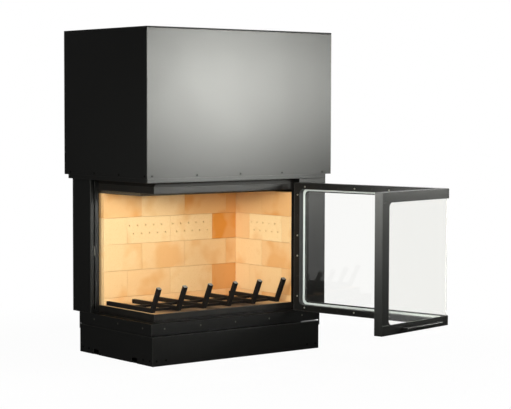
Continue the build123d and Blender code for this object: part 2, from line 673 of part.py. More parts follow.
# ---------------------------------------------------------------- casing
def casing_screw_points():
    z = CASING_Z + CASING_SCREW_EDGE
    front_row = even_row(CASING_SCREW_INSETS[0], CASING_W - CASING_SCREW_INSETS[1], CASING_SCREWS)
    side_row = even_row(CASING_SIDE_INSETS[0], CASING_D - CASING_SIDE_INSETS[1], CASING_SIDE_SCREWS)
    front = [(x, 0, z) for x in front_row]
    left = [(0, y, z) for y in side_row]
    right = [(CASING_W, y, z) for y in side_row]
    return front, left, right


def trim_strips():
    """The four flat strips on edge under the casing."""
    z = (CASING_Z - TRIM_H, CASING_Z)
    x = (TRIM_INSET, CASING_W - TRIM_RIGHT_INSET)
    y = (TRIM_INSET, CASING_D - TRIM_REAR_INSET)
    between = (y[0] + TRIM_T, y[1] - TRIM_T)
    return [
        block(x, (y[0], y[0] + TRIM_T), z),
        block(x, (y[1] - TRIM_T, y[1]), z),
        block((x[0], x[0] + TRIM_T), between, z),
        block((x[1] - TRIM_T, x[1]), between, z),
    ]


def casing():
    t = CASING_SHEET
    front_pts, left_pts, right_pts = casing_screw_points()
    wall = (CASING_Z, LID_Z)
    fold = (CASING_Z, CASING_Z + t)
    front = block((0, CASING_W), (0, t), wall) + block((t, CASING_W - t), (t, t + FLANGE), fold)
    keep("casing_front", drilled(front, front_pts, "y"))
    side_y = (t + FLANGE, CASING_D - t)
    rear_fold = TRIM_REAR_INSET + TRIM_T
    left = block((0, t), (t, CASING_D - t), wall)
    left += block((t, t + FLANGE), (side_y[0], CASING_D - rear_fold), fold)
    keep("casing_left", drilled(left, left_pts, "x"))
    right_fold = TRIM_RIGHT_INSET + TRIM_T
    right = block((CASING_W - t, CASING_W), (t, CASING_D - t), wall)
    right += block((CASING_W - right_fold, CASING_W - t), (side_y[0], CASING_D - rear_fold), fold)
    keep("casing_right", drilled(right, right_pts, "x"))
    rear = block((0, CASING_W), (CASING_D - t, CASING_D), wall)
    rear += block((t, CASING_W - t), (CASING_D - rear_fold, CASING_D - t), fold)
    keep("casing_rear", rear)
    lid = block((0, CASING_W), (0, CASING_D), (LID_Z, CASING_TOP))
    lid -= rod((FLUE_X, FLUE_Y, LID_Z - 1), "z", LID_EDGE + 2, LID_HOLE_R)
    keep("casing_lid", lid)
    keep("casing_trim", *trim_strips())


# ---------------------------------------------------------------- panel screws
def panel_screws():
    dark = []
    for group, axes in ((casing_screw_points(), "yxx"), (plinth_screw_points(), "yxx")):
        for points, axis, sign in zip(group, axes, (-1, -1, 1)):
            dark += [screw(point, axis, sign) for point in points]
    keep("dark_screws", *dark)
    front, left = fascia_screw_points()
    keep("fascia_screws", *([screw(p, "y", -1) for p in front] + [screw(p, "x", -1) for p in left]))


# ---------------------------------------------------------------- door
# A leaf is modelled with u running from the glass corner to its stile, v from its outer face inwards and
# z from its lower edge. The front leaf has u along x; the side leaf is the same form mirrored over the
# corner's diagonal.
DIAGONAL = Plane(origin=(0, 0, 0), z_dir=(1, -1, 0))


def in_place(shape, side):
    """Move a leaf shape from its own axes to the swung-open door."""
    if side:
        shape = mirror(shape, about=DIAGONAL)
    shape = Pos(FACE_X, FACE_Y, DOOR_Z) * shape
    return shape.rotate(PIVOT_AXIS, OPEN_ANGLE)


def leaf_length(side):
    return DOOR_S if side else DOOR_L


def mitre(side):
    """Keeps what belongs to one leaf at the glass corner."""
    reach = 2 * DOOR_DEPTH
    far = leaf_length(side) + reach
    return prism([(-reach, -reach), (reach, reach), (far, reach), (far, -reach)], (-reach, DOOR_H + reach))


def window(side, margin, v):
    """The opening of a leaf, its edges a margin inside the frame's outer edges, round at the stile."""
    end = leaf_length(side) - margin - (STILE - RAIL)
    shape = block((-DOOR_DEPTH, end), v, (margin, DOOR_H - margin))
    corners = shape.edges().filter_by(Axis.Y).group_by(Axis.X)[-1]
    return fillet(corners, WINDOW_R)


def ring(side, outer, inner, v):
    """A C-shaped strip round the window between two margins, cut at the glass corner."""
    end = leaf_length(side) - outer
    plate = block((-DOOR_DEPTH, end), v, (outer, DOOR_H - outer))
    return (plate - window(side, inner, (v[0] - 1, v[1] + 1))) & mitre(side)


def leaf_frame(side):
    """Outer sheet frame of a leaf: a face with its window and turned-in edges."""
    length = leaf_length(side)
    t = DOOR_SHEET
    shell = block((-DOOR_DEPTH, length), (0, DOOR_DEPTH), (0, DOOR_H))
    shell -= block((-DOOR_DEPTH - 1, length - t), (t, DOOR_DEPTH + 1), (t, DOOR_H - t))
    shell -= window(side, RAIL, (-1, t + 1))
    return shell & mitre(side)


def hinge_knuckles():
    """Knuckle tubes and their leaves, welded to the outer face at the hinge end."""
    shapes = []
    u = DOOR_L + PIVOT_OUT
    v = -PIVOT_OUT
    for middle in HINGES:
        z = middle - DOOR_Z + SHANK_PLAY
        height = KNUCKLE_H - SHANK_PLAY
        tube = rod((u, v, z), "z", height, KNUCKLE_R)
        tube += block((u - HINGE_LEAF, u), (v, 0), (z, z + height))
        shapes.append(tube - rod((u, v, z - 1), "z", height + 2, PIN_R + PIN_PLAY))
    return shapes


def hinge_relief():
    """Room in the hinge stile for the fixed knuckles and the pins."""
    u = DOOR_L + PIVOT_OUT
    v = -PIVOT_OUT
    cuts = []
    for middle in HINGES:
        z = middle - DOOR_Z
        low = rod((u, v, z - KNUCKLE_H - 1), "z", KNUCKLE_H + 1 + SHANK_PLAY, KNUCKLE_R + 0.4)
        cuts.append(low + rod((u, v, z - 1), "z", KNUCKLE_H + 2, PIN_R + PIN_PLAY))
    return cuts


def door_frame():
    wide = 2 * (DOOR_L + DOOR_S)
    top = block((-wide, wide), (-wide, wide), (DOOR_H - RAIL, DOOR_H + 1))
    foot = block((-wide, wide), (-wide, wide), (-1, RAIL))
    for side, name in ((False, "door"), (True, "side")):
        frame = leaf_frame(side)
        stile = frame - top - foot
        if not side:
            for knuckle in hinge_knuckles():
                stile += knuckle
            for cut in hinge_relief():
                stile -= cut
        keep(name + "_stile", in_place(stile, side))
        keep(name + "_top_rail", in_place(frame & top, side))
        keep(name + "_bottom_rail", in_place(frame & foot, side))


def screw_rows(side):
    """(u, z) of every hole in a leaf's retainer, with whether it holds a screw."""
    length = leaf_length(side)
    rows = []
    count = int((length - RETAINER_SCREW_INSET - DOOR_DEPTH) // RETAINER_SCREW_PITCH) + 1
    for i in range(count):
        u = length - RETAINER_SCREW_INSET - i * RETAINER_SCREW_PITCH
        for z in (RETAINER_SCREW_EDGE, DOOR_H - RETAINER_SCREW_EDGE):
            rows.append((u, z, i in RETAINER_FITTED))
    upright = int((DOOR_H - RAIL - UPRIGHT_SCREW_INSET) // UPRIGHT_SCREW_PITCH) + 1
    for i in range(upright):
        z = UPRIGHT_SCREW_INSET + i * UPRIGHT_SCREW_PITCH
        rows.append((length - RETAINER_SCREW_EDGE - (STILE - RAIL), z, i not in UPRIGHT_OPEN))
    return rows


def glazing():
    t = DOOR_SHEET
    face_v = (DOOR_DEPTH - RETAINER_T, DOOR_DEPTH)
    glass_v = (GLASS_SET, GLASS_SET + GLASS_T)
    gasket_v = (glass_v[1], glass_v[1] + GASKET_T)
    edge = RAIL - RETAINER_LAP
    retainers = []
    gaskets = []
    fasteners = []
    for side in (False, True):
        retainer = ring(side, t, edge, face_v)
        retainer += ring(side, edge - RETAINER_T, edge, (gasket_v[1], face_v[0]))
        for u, z, fitted in screw_rows(side):
            retainer -= rod((u, face_v[0] - 1, z), "y", RETAINER_T + 2, RETAINER_HOLE_R)
            if fitted:
                head = rod((u, DOOR_DEPTH, z), "y", RETAINER_SCREW_H, RETAINER_SCREW_R)
                shank = rod((u, DOOR_DEPTH - SHANK_L, z), "y", SHANK_L, SHANK_R)
                fasteners.append(in_place(head + shank, side))
        retainers.append(in_place(retainer, side))
        gaskets.append(in_place(ring(side, RAIL - GASKET_OUT, RAIL - GASKET_IN, gasket_v), side))
        gaskets.append(in_place(ring(side, RAIL - GASKET_OUT, RAIL - OUTER_GASKET_IN, (t, GLASS_SET)), side))
        margin = RAIL - GLASS_GRIP
        start = GLASS_SET if not side else glass_v[1] + GLASS_GAP
        pane = block((start, leaf_length(side) - margin), glass_v, (margin, DOOR_H - margin))
        keep("side_glass" if side else "front_glass", in_place(pane, side))
    keep("glass_retainers", *retainers)
    keep("glass_gaskets", *gaskets)
    keep("retainer_screws", *fasteners)


def door_handle():
    """A flat bar with rounded edges on two posts, on the side leaf's lower rail."""
    v = (-HANDLE_STAND - HANDLE_T, -HANDLE_STAND)
    z = (HANDLE_Z - HANDLE_H / 2, HANDLE_Z + HANDLE_H / 2)
    bar = block((HANDLE_START, HANDLE_START + HANDLE_L), v, z)
    bar = fillet(bar.edges().filter_by(Axis.X), HANDLE_T * 0.4)
    for u in (HANDLE_START, HANDLE_START + HANDLE_L - HANDLE_POST):
        bar += block((u, u + HANDLE_POST), (v[0] + HANDLE_T / 2, 0), (z[0] + 1, z[1] - 1))
    keep("door_handle", in_place(bar, True))


def hinge_pintles():
    """The fixed halves of the two hinges, with their pins, on the right column."""
    shapes = []
    for middle in HINGES:
        low = middle - KNUCKLE_H
        body = rod((*PIVOT, low), "z", KNUCKLE_H, KNUCKLE_R)
        body += rod((*PIVOT, low), "z", 2 * KNUCKLE_H - 2, PIN_R)
        plate = block((PIVOT[0], JAMB_X + 3 * KNUCKLE_R), (FACE_Y, JAMB_Y), (low, middle))
        shapes.append(body + plate)
    keep("hinge_pintles", *shapes)


# ---------------------------------------------------------------- lifting gear
def twin(shape):
    """The same piece in the right column."""
    return Pos(TWIN_X, 0, 0) * mirror(shape, about=Plane.YZ)


def pair(name, shape):
    keep(name, shape, twin(shape))


def lifting_gear():
    bar_x = (BODY_LEFT_IN, BODY_LEFT_IN + RAIL_BAR_T)
    bar_y = (RAIL_BAR_Y, RAIL_BAR_Y + RAIL_BAR_W)
    bearing_z = (WHEEL_Z - BEARING_H / 2, WHEEL_Z + BEARING_H / 2)
    pair("runner_rails", block(bar_x, bar_y, (HEARTH_TOP, bearing_z[0])))

    block_x = (BODY_LEFT_IN + CARRIAGE_PLAY, BODY_LEFT_IN + CARRIAGE_T + 5)
    block_y = (bar_y[0] - 6, WHEEL_Y - CHAIN_R + CHAIN_T)
    carriage_z = (CARRIAGE_Z, CARRIAGE_Z + CARRIAGE_H)
    clamp = block(block_x, block_y, carriage_z)
    groove_x = (BODY_LEFT_IN - 1, bar_x[1] + CARRIAGE_PLAY)
    groove_y = (bar_y[0] - CARRIAGE_PLAY, bar_y[1] + CARRIAGE_PLAY)
    clamp -= block(groove_x, groove_y, (carriage_z[0] - 1, carriage_z[1] + 1))
    hook_x = (CHAIN_X - HOOK_T / 2, CHAIN_X + HOOK_T / 2)
    hook_z = (CARRIAGE_Z + HOOK_H, CARRIAGE_Z + 2 * HOOK_H)
    door_end = FACE_Y + DOOR_S
    left = clamp + block(hook_x, (door_end + HOOK_GAP, block_y[0]), hook_z)
    arm_x = (TWIN_X - hook_x[1], TWIN_X - hook_x[0])
    right = twin(clamp) + block(arm_x, (JAMB_Y + BODY_SHEET + HOOK_GAP, block_y[0]), hook_z)
    keep("door_carriages", left, right)

    weight_x = (BODY_LEFT_IN + WEIGHT_CLEAR, BODY_LEFT_IN + WEIGHT_CLEAR + WEIGHT_T)
    weight_y = (WHEEL_Y + WEIGHT_CLEAR, WHEEL_Y + WEIGHT_CLEAR + WEIGHT_D)
    pair("counterweights", block(weight_x, weight_y, (WEIGHT_TOP - WEIGHT_H, WEIGHT_TOP)))

    chain_x = (CHAIN_X - CHAIN_T / 2, CHAIN_X + CHAIN_T / 2)
    front_y = (WHEEL_Y - CHAIN_R - CHAIN_T / 2, WHEEL_Y - CHAIN_R + CHAIN_T / 2)
    rear_y = (WHEEL_Y + CHAIN_R - CHAIN_T / 2, WHEEL_Y + CHAIN_R + CHAIN_T / 2)
    chain = rod((chain_x[0], WHEEL_Y, WHEEL_Z), "x", CHAIN_T, CHAIN_R + CHAIN_T / 2)
    chain -= rod((chain_x[0] - 1, WHEEL_Y, WHEEL_Z), "x", CHAIN_T + 2, CHAIN_R - CHAIN_T / 2)
    reach = CHAIN_R + CHAIN_T
    round_wheel = (WHEEL_Y - reach, WHEEL_Y + reach)
    chain -= block((chain_x[0] - 1, chain_x[1] + 1), round_wheel, (WHEEL_Z - reach, WHEEL_Z))
    chain += block(chain_x, front_y, (carriage_z[1], WHEEL_Z))
    chain += block(chain_x, rear_y, (WEIGHT_TOP, WHEEL_Z))
    pair("lift_chains", chain)

    bearing_x = (CASING_SHEET, CHAIN_X - WHEEL_T / 2 - 1)
    bearing_y = (WHEEL_Y + BEARING_BACK - BEARING_D, WHEEL_Y + BEARING_BACK)
    bearing = block(bearing_x, bearing_y, bearing_z)
    bearing -= rod((bearing_x[0] + BEARING_INSET, WHEEL_Y, WHEEL_Z), "x", bearing_x[1], SHAFT_R + SHAFT_PLAY)
    pair("shaft_bearings", bearing)

    shaft_end = bearing_x[0] + BEARING_INSET + CARRIAGE_PLAY
    wheels = rod((shaft_end, WHEEL_Y, WHEEL_Z), "x", TWIN_X - 2 * shaft_end, SHAFT_R)
    wheel_r = CHAIN_R - CHAIN_T / 2 - CARRIAGE_PLAY
    wheel = rod((CHAIN_X - WHEEL_T / 2, WHEEL_Y, WHEEL_Z), "x", WHEEL_T, wheel_r)
    keep("chain_shaft", wheels + wheel + twin(wheel))


# ---------------------------------------------------------------- log grate
def log_grate():
    z = (FLOOR_TOP, FLOOR_TOP + BAR)
    middle_z = FLOOR_TOP + BAR / 2
    bars = []
    for i in range(BARS):
        x = BAR_START + i * BAR_PITCH
        path = Polyline((x, BEND_Y + LEG_L, middle_z), (x, BEND_Y, middle_z),
                        (x, BEND_Y - HORN_LEAN, middle_z + HORN_H))
        start = Plane(origin=path @ 0, z_dir=path % 0, x_dir=(1, 0, 0))
        section = start * RectangleRounded(BAR, BAR, BAR_EDGE_R)
        bars.append(sweep(section, path=path, transition=Transition.RIGHT))
    keep("grate_bars", *bars)
    ties = []
    for y in (BEND_Y + at for at in TIES_AT):
        for i in range(BARS - 1):
            x = (BAR_START + i * BAR_PITCH + BAR / 2, BAR_START + (i + 1) * BAR_PITCH - BAR / 2)
            ties.append(block(x, (y - BAR / 2, y + BAR / 2), (z[0], z[0] + TIE_H)))
    keep("grate_ties", *ties)


# ---------------------------------------------------------------- build and write
def main():
    plinth()
    air_spigot()
    fascia()
    hearth()
    firebricks()
    sealing_frame()
    right_jamb()
    body_shell()
    smoke_hood()
    casing()
    panel_screws()
    door_frame()
    glazing()
    door_handle()
    hinge_pintles()
    lifting_gear()
    log_grate()
    os.makedirs("parts", exist_ok=True)
    for name, solids in PARTS.items():
        placed = [ORIGIN * solid for solid in solids]
        shape = placed[0] if len(placed) == 1 else Compound(children=placed)
        export_step(shape, "parts/" + name + ".step")
    print(len(PARTS), "nodes,", sum(len(s) for s in PARTS.values()), "solids")


main()
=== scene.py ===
# %% [markdown]
# # A corner fireplace insert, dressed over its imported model
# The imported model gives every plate, brick and screw its place in metres, with the floor at z = 0.
# This lesson gives each of them its edges and its finish, then lights them as a catalogue would.

# %% Load the frame
import json
import math

import bpy
import bmesh
from mathutils import Matrix, Vector
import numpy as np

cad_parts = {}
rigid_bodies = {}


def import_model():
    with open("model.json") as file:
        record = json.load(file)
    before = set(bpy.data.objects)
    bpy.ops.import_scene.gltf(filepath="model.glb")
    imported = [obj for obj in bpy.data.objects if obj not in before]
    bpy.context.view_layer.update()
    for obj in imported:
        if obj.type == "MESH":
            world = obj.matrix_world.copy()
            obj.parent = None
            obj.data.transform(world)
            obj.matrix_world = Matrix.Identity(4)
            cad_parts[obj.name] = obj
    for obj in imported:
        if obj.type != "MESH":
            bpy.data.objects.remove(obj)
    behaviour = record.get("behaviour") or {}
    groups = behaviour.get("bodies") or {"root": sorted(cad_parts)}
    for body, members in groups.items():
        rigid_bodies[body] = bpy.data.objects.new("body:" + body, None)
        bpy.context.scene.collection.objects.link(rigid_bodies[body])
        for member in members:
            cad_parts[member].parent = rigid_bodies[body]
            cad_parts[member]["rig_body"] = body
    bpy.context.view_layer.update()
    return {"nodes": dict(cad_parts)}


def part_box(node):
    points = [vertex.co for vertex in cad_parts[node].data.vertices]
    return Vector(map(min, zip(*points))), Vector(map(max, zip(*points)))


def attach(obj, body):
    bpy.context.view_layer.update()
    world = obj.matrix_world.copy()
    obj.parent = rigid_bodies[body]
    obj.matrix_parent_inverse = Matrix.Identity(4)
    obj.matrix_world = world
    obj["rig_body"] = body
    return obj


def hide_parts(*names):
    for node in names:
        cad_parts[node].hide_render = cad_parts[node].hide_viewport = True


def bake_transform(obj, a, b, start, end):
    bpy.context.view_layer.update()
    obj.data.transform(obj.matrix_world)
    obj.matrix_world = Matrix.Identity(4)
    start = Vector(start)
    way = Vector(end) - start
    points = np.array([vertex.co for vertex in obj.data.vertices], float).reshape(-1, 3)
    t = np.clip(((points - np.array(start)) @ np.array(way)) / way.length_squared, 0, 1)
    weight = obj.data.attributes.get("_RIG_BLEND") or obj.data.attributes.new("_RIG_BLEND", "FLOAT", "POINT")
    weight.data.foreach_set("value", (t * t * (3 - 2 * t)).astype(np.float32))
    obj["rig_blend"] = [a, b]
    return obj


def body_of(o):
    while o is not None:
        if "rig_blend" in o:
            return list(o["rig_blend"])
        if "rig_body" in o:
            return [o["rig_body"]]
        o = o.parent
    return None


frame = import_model()

# %% [markdown]
# Colours are written as the hex values that a colour chart gives, and a shader wants them linear.
# One function makes every node: its settings are set, then its inputs get a value or a link.

# %% Colour and node helpers
MM = 0.001


def linear(code):
    """A written sRGB colour as linear red, green, blue and alpha."""
    parts = [int(code[i:i + 2], 16) / 255 for i in (1, 3, 5)]
    return tuple(c / 12.92 if c <= 0.04045 else ((c + 0.055) / 1.055) ** 2.4 for c in parts) + (1.0,)


def add(tree, kind, inputs=None, **settings):
    """Adds one node, sets what is named, then fills its inputs with values or links."""
    made = tree.nodes.new(kind)
    for name, value in settings.items():
        setattr(made, name, value)
    for key, value in (inputs or {}).items():
        if isinstance(value, bpy.types.NodeSocket):
            tree.links.new(value, made.inputs[key])
        else:
            made.inputs[key].default_value = value
    return made


def start_finish(name):
    """A new material with an empty tree, and the place on the object as its first node."""
    finish = bpy.data.materials.new(name)
    finish.use_nodes = True
    tree = finish.node_tree
    tree.nodes.clear()
    place = add(tree, "ShaderNodeTexCoord").outputs["Object"]
    return finish, tree, place


def end_finish(tree, inputs):
    """Joins a Principled shader with the given inputs to the material's output."""
    shader = add(tree, "ShaderNodeBsdfPrincipled", inputs)
    add(tree, "ShaderNodeOutputMaterial", {"Surface": shader.outputs[0]})


print("helpers ready")

# %% [markdown]
# No real surface is even, and the finishes here show it by the same few steps: a pattern, a stretch of it
# turned into the range that is wanted, a colour between two by that share, and a bump. Each step is a
# function that gives back an output to link, so a finish reads as a list of what happened to a surface.

# %% Steps that the finishes share
WAVE_STEP = 0.314  # metres from band to band in a wave texture of scale 1


def noise(tree, place, width, detail, roughness=0.5):
    """Clouds about as wide as said, from 0 to 1."""
    return add(tree, "ShaderNodeTexNoise", {"Vector": place, "Scale": 1 / width, "Detail": detail,
                                            "Roughness": roughness}).outputs[0]


def cells(tree, place, width):
    """Crystals or flakes about as wide as said, with their outputs by name."""
    return add(tree, "ShaderNodeTexVoronoi", {"Vector": place, "Scale": 1 / width}).outputs


def bands(tree, place, step, direction, distortion=0.0):
    """Soft stripes that repeat after the given step, from 0 to 1."""
    return add(tree, "ShaderNodeTexWave", {"Vector": place, "Scale": WAVE_STEP / step,
                                           "Distortion": distortion},
               wave_type="BANDS", bands_direction=direction).outputs["Fac"]


def stretched(tree, value, start, end, low=0.0, high=1.0, **settings):
    """A value's stretch from start to end as one from low to high, and held beyond both ends."""
    return add(tree, "ShaderNodeMapRange", {"Value": value, "From Min": start, "From Max": end,
                                            "To Min": low, "To Max": high}, **settings).outputs[0]


def worked_out(tree, operation, *values, clamp=False):
    """One step of arithmetic, held between 0 and 1 where clamp is set."""
    return add(tree, "ShaderNodeMath", dict(enumerate(values)), operation=operation,
               use_clamp=clamp).outputs[0]


def toned(tree, share, low, high):
    """The colour at a share of the way from low to high, each a hex code or an output."""
    ends = [linear(end) if isinstance(end, str) else end for end in (low, high)]
    return add(tree, "ShaderNodeMix", {0: share, 6: ends[0], 7: ends[1]}, data_type="RGBA").outputs[2]


def bumped(tree, height, strength, depth):
    """A surface direction that seems to rise and sink by the depth, as the height says."""
    return add(tree, "ShaderNodeBump", {"Height": height, "Strength": strength,
                                        "Distance": depth}).outputs[0]


print("steps ready")

# %% [markdown]
# ## Finishes
# The casing, the plinth, the fascia and the door are folded sheet steel with a baked satin powder coat.
# The coat is near black. It only looks grey where it mirrors a lamp, so the base colour stays dark and the
# roughness carries the look. Powder flows out with a faint orange peel a few millimetres wide, and hands
# leave cloudy patches some 90 mm wide, which here are small swings of the roughness. The lid is hidden once
# the insert is built in, so it only has a dull primer, and its edge reads as a dark line.

# %% Powder-coated sheet
ROUGHNESS_SWING = 0.007


def powder_coat(name, colour, dusty, roughness):
    """Satin powder coat, with cloudy roughness, sparse dust and orange peel."""
    finish, tree, place = start_finish(name)
    cloud = noise(tree, place, 90 * MM, 3.0)
    rough = stretched(tree, cloud, 0.3, 0.7, roughness - ROUGHNESS_SWING, roughness + ROUGHNESS_SWING)
    dust = stretched(tree, noise(tree, place, 6 * MM, 2.0), 0.62, 0.78, high=0.7)
    peel = noise(tree, place, 5 * MM, 1.0)
    end_finish(tree, {"Base Color": toned(tree, dust, colour, dusty), "Roughness": rough,
                      "Specular IOR Level": 0.38, "Normal": bumped(tree, peel, 0.12, 0.1 * MM)})
    return finish


coat = powder_coat("satin black powder coat", "#0a0a09", "#151513", 0.385)
# The edge finish is a thinner coat, and its lighter colour is a painted highlight along every rounded edge.
thin_coat_and_glint = powder_coat("powder coat thinned on a bent edge", "#222220", "#32322f", 0.34)
lid_coat = powder_coat("matt primer on the lid", "#0b0b0b", "#141413", 0.72)
print("finishes:", coat.name, "/", thin_coat_and_glint.name, "/", lid_coat.name)

# %% [markdown]
# The frame round the fire, the hearth plate, the liners and the smoke hood are plain steel sprayed with a
# matt heat-proof paint. It dries with a slightly brown bloom in patches about 60 mm wide and with a fine
# grain, so it is rougher than the coat outside.

# %% Heat-proof paint
chamber_paint, tree, place = start_finish("matt heat-proof paint on steel")
patch = noise(tree, place, 60 * MM, 5.0, 0.6)
bloom = stretched(tree, patch, 0.35, 0.7)
grain = noise(tree, place, 1.5 * MM, 2.0)
end_finish(tree, {"Base Color": toned(tree, bloom, "#0e0d0c", "#18140f"),
                  "Roughness": stretched(tree, patch, 0.0, 1.0, 0.42, 0.58),
                  "Specular IOR Level": 0.35, "Normal": bumped(tree, grain, 0.25, 0.1 * MM)})
print("finish:", chamber_paint.name)

# %% [markdown]
# The log grate is hot-rolled square bar, bent hot and left raw. Mill scale is a blue-black skin that flakes
# off in spots and browns in the fire. The sawn ends of the horns stay bare, and their pale colour is partly
# bare steel and partly a painted highlight, where the surface faces along the horn, which leans forward
# 47 mm in 96 mm of height.

# %% Hot-rolled bar with sawn ends
HORN_AXIS = Vector((0, -47, 96)).normalized()
bar_steel, tree, place = start_finish("hot-rolled bar with mill scale")
flakes = noise(tree, place, 14 * MM, 6.0, 0.65)
scale = toned(tree, stretched(tree, flakes, 0.48, 0.66), "#080605", "#1a100b")
facing = add(tree, "ShaderNodeTexCoord").outputs["Normal"]
along = add(tree, "ShaderNodeVectorMath", {0: facing, 1: HORN_AXIS}, operation="DOT_PRODUCT")
# Pale where the face looks along the horn: bare steel, and partly a painted highlight.
sawn_and_lit = stretched(tree, along.outputs["Value"], 0.96, 0.99)
end_finish(tree, {"Base Color": toned(tree, sawn_and_lit, scale, "#8d8c86"),
                  "Roughness": stretched(tree, flakes, 0.0, 1.0, 0.6, 0.85),
                  "Specular IOR Level": 0.3, "Normal": bumped(tree, flakes, 0.4, 0.4 * MM)})
print("finish:", bar_steel.name)

# %% [markdown]
# Firebricks are pressed from pale clay and grog, then fired. Each comes out of the kiln a little different,
# from straw to orange, and a hotter corner leaves a flame-coloured patch. The tone is an attribute that
# each brick carries, the patches are a slow noise that starts elsewhere on every brick, grog grains a few
# millimetres wide roughen the face, and specks of iron dot it. On the hearth, under the front of the grate,
# a ragged dark brown patch is painted shade of the sill and the grate.

# %% Firebrick
HEARTH_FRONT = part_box("floor_bricks")[0].y
HEARTH_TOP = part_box("floor_bricks")[1].z
GRATE_SHADE_MIDDLE = -90 * MM
# Where the painted shade under the grate starts to fade and where it ends, sideways, from the hearth's front
# and above the hearth.
GRATE_SHADE_ASIDE = (200 * MM, 330 * MM)
GRATE_SHADE_BACK = (90 * MM, 270 * MM)
GRATE_SHADE_UP = (2 * MM, 17 * MM)

firebrick, tree, place = start_finish("pressed and fired chamotte brick")
tone_of = add(tree, "ShaderNodeAttribute", attribute_name="kiln_tone").outputs["Fac"]
shift_of = add(tree, "ShaderNodeAttribute", attribute_name="kiln_shift").outputs["Vector"]
moved = add(tree, "ShaderNodeVectorMath", {0: place, 1: shift_of}).outputs[0]
flame = stretched(tree, noise(tree, moved, 140 * MM, 2.0), 0.52, 0.66, high=0.3)
heat = worked_out(tree, "ADD", tone_of, flame, clamp=True)
skin = toned(tree, heat, "#efcf9b", "#d6882e")
grog = noise(tree, moved, 5 * MM, 4.0, 0.7)
skin = toned(tree, stretched(tree, grog, 0.52, 0.75, high=0.35), skin, "#cf9650")
iron = stretched(tree, cells(tree, moved, 32 * MM)["Distance"], 0.05, 0.035, high=0.3)
skin = toned(tree, iron, skin, "#6b4425")
spot = add(tree, "ShaderNodeSeparateXYZ", {0: place}).outputs
# Painted shade of the sill and the grate: the hearth's top turns dark brown near its front, in the middle, in
# ragged patches.
grate_shade = stretched(tree, spot["Z"], HEARTH_TOP + GRATE_SHADE_UP[1], HEARTH_TOP + GRATE_SHADE_UP[0], high=0.95)
back = stretched(tree, spot["Y"], HEARTH_FRONT + GRATE_SHADE_BACK[1], HEARTH_FRONT + GRATE_SHADE_BACK[0])
aside = worked_out(tree, "ABSOLUTE", worked_out(tree, "SUBTRACT", spot["X"], GRATE_SHADE_MIDDLE))
aside = stretched(tree, aside, GRATE_SHADE_ASIDE[1], GRATE_SHADE_ASIDE[0])
ragged = stretched(tree, noise(tree, place, 90 * MM, 4.0), 0.3, 0.55, 0.7)
for part in (back, aside, ragged):
    grate_shade = worked_out(tree, "MULTIPLY", grate_shade, part)
end_finish(tree, {"Base Color": toned(tree, grate_shade, skin, "#2c1a10"), "Roughness": 0.88,
                  "Normal": bumped(tree, grog, 0.5, 0.4 * MM)})
print("finish:", firebrick.name)

# %% [markdown]
# The baffle is a board pressed from expanded vermiculite. Its flakes are golden and a few millimetres
# across, which a cell pattern gives directly. Its edges and underside are painted dark brown as shade, and
# only the top face keeps the golden flakes.

# %% Vermiculite board
board, tree, place = start_finish("pressed vermiculite board")
flakes = cells(tree, place, 4 * MM)
sheen = add(tree, "ShaderNodeSeparateColor", {"Color": flakes["Color"]}).outputs
facing = add(tree, "ShaderNodeTexCoord").outputs["Normal"]
upward = add(tree, "ShaderNodeSeparateXYZ", {0: facing}).outputs["Z"]
# Painted shade: a face darkens as it turns away from up, fully once it stands upright or faces down.
shaded_faces = stretched(tree, upward, 0.95, 0.3, high=0.93)
clean = toned(tree, sheen[0], "#a48a5c", "#cdb684")
end_finish(tree, {"Base Color": toned(tree, shaded_faces, clean, "#2a221b"),
                  "Roughness": stretched(tree, sheen[1], 0.0, 1.0, 0.6, 0.95),
                  "Normal": bumped(tree, flakes["Distance"], 0.4, 0.5 * MM)})
print("finish:", board.name)

# %% [markdown]
# The panes are clear glass ceramic, drawn flat and polished. It bends light a little more than window
# glass and is very faintly tinted. Old wiping leaves a trace of haze, kept small so that the backdrop stays
# sharp behind the pane. The cut edges are ground, and look frosted and pale.

# %% Glass ceramic
GLASS_INDEX = 1.54
pane, tree, place = start_finish("clear glass ceramic")
haze = stretched(tree, noise(tree, place, 120 * MM, 3.0), 0.45, 0.8, high=0.03)
end_finish(tree, {"Base Color": linear("#fefefc"), "Roughness": haze, "IOR": GLASS_INDEX,
                  "Transmission Weight": 1.0})
ground, tree, place = start_finish("ground edge of the glass")
frost = stretched(tree, noise(tree, place, 2 * MM, 2.0), 0.0, 1.0, 0.6, 0.9)
end_finish(tree, {"Base Color": linear("#dcddd9"), "Roughness": frost, "IOR": GLASS_INDEX,
                  "Transmission Weight": 0.5})
print("finishes:", pane.name, "/", ground.name)

# %% [markdown]
# Between glass and steel lies a woven glass-fibre tape, nearly white. Its tows cross every 2 mm, drawn by
# two crossed wave patterns that lift the crowns and paint shade into the hollows between them.

# %% Woven glass tape
TOW_STEP = 2 * MM


def woven_tape(name, shaded_hollow, crown):
    """Glass-fibre tape, with painted shade in the hollows of its weave."""
    finish, tree, place = start_finish(name)
    turned = add(tree, "ShaderNodeMapping", {"Vector": place, "Rotation": (0.0, math.pi / 2, math.pi / 2)})
    warp = bands(tree, place, TOW_STEP, "DIAGONAL", 0.6)
    weft = bands(tree, turned.outputs[0], TOW_STEP, "DIAGONAL", 0.6)
    weave = worked_out(tree, "MAXIMUM", warp, weft)
    end_finish(tree, {"Base Color": toned(tree, weave, shaded_hollow, crown), "Roughness": 0.85,
                      "Normal": bumped(tree, weave, 0.6, 0.3 * MM)})
    return finish


tape = woven_tape("woven glass-fibre tape, natural white", "#a9aeab", "#d2d8d5")
black_tape = woven_tape("woven glass-fibre tape, graphited", "#141413", "#232220")
print("finishes:", tape.name, "/", black_tape.name)

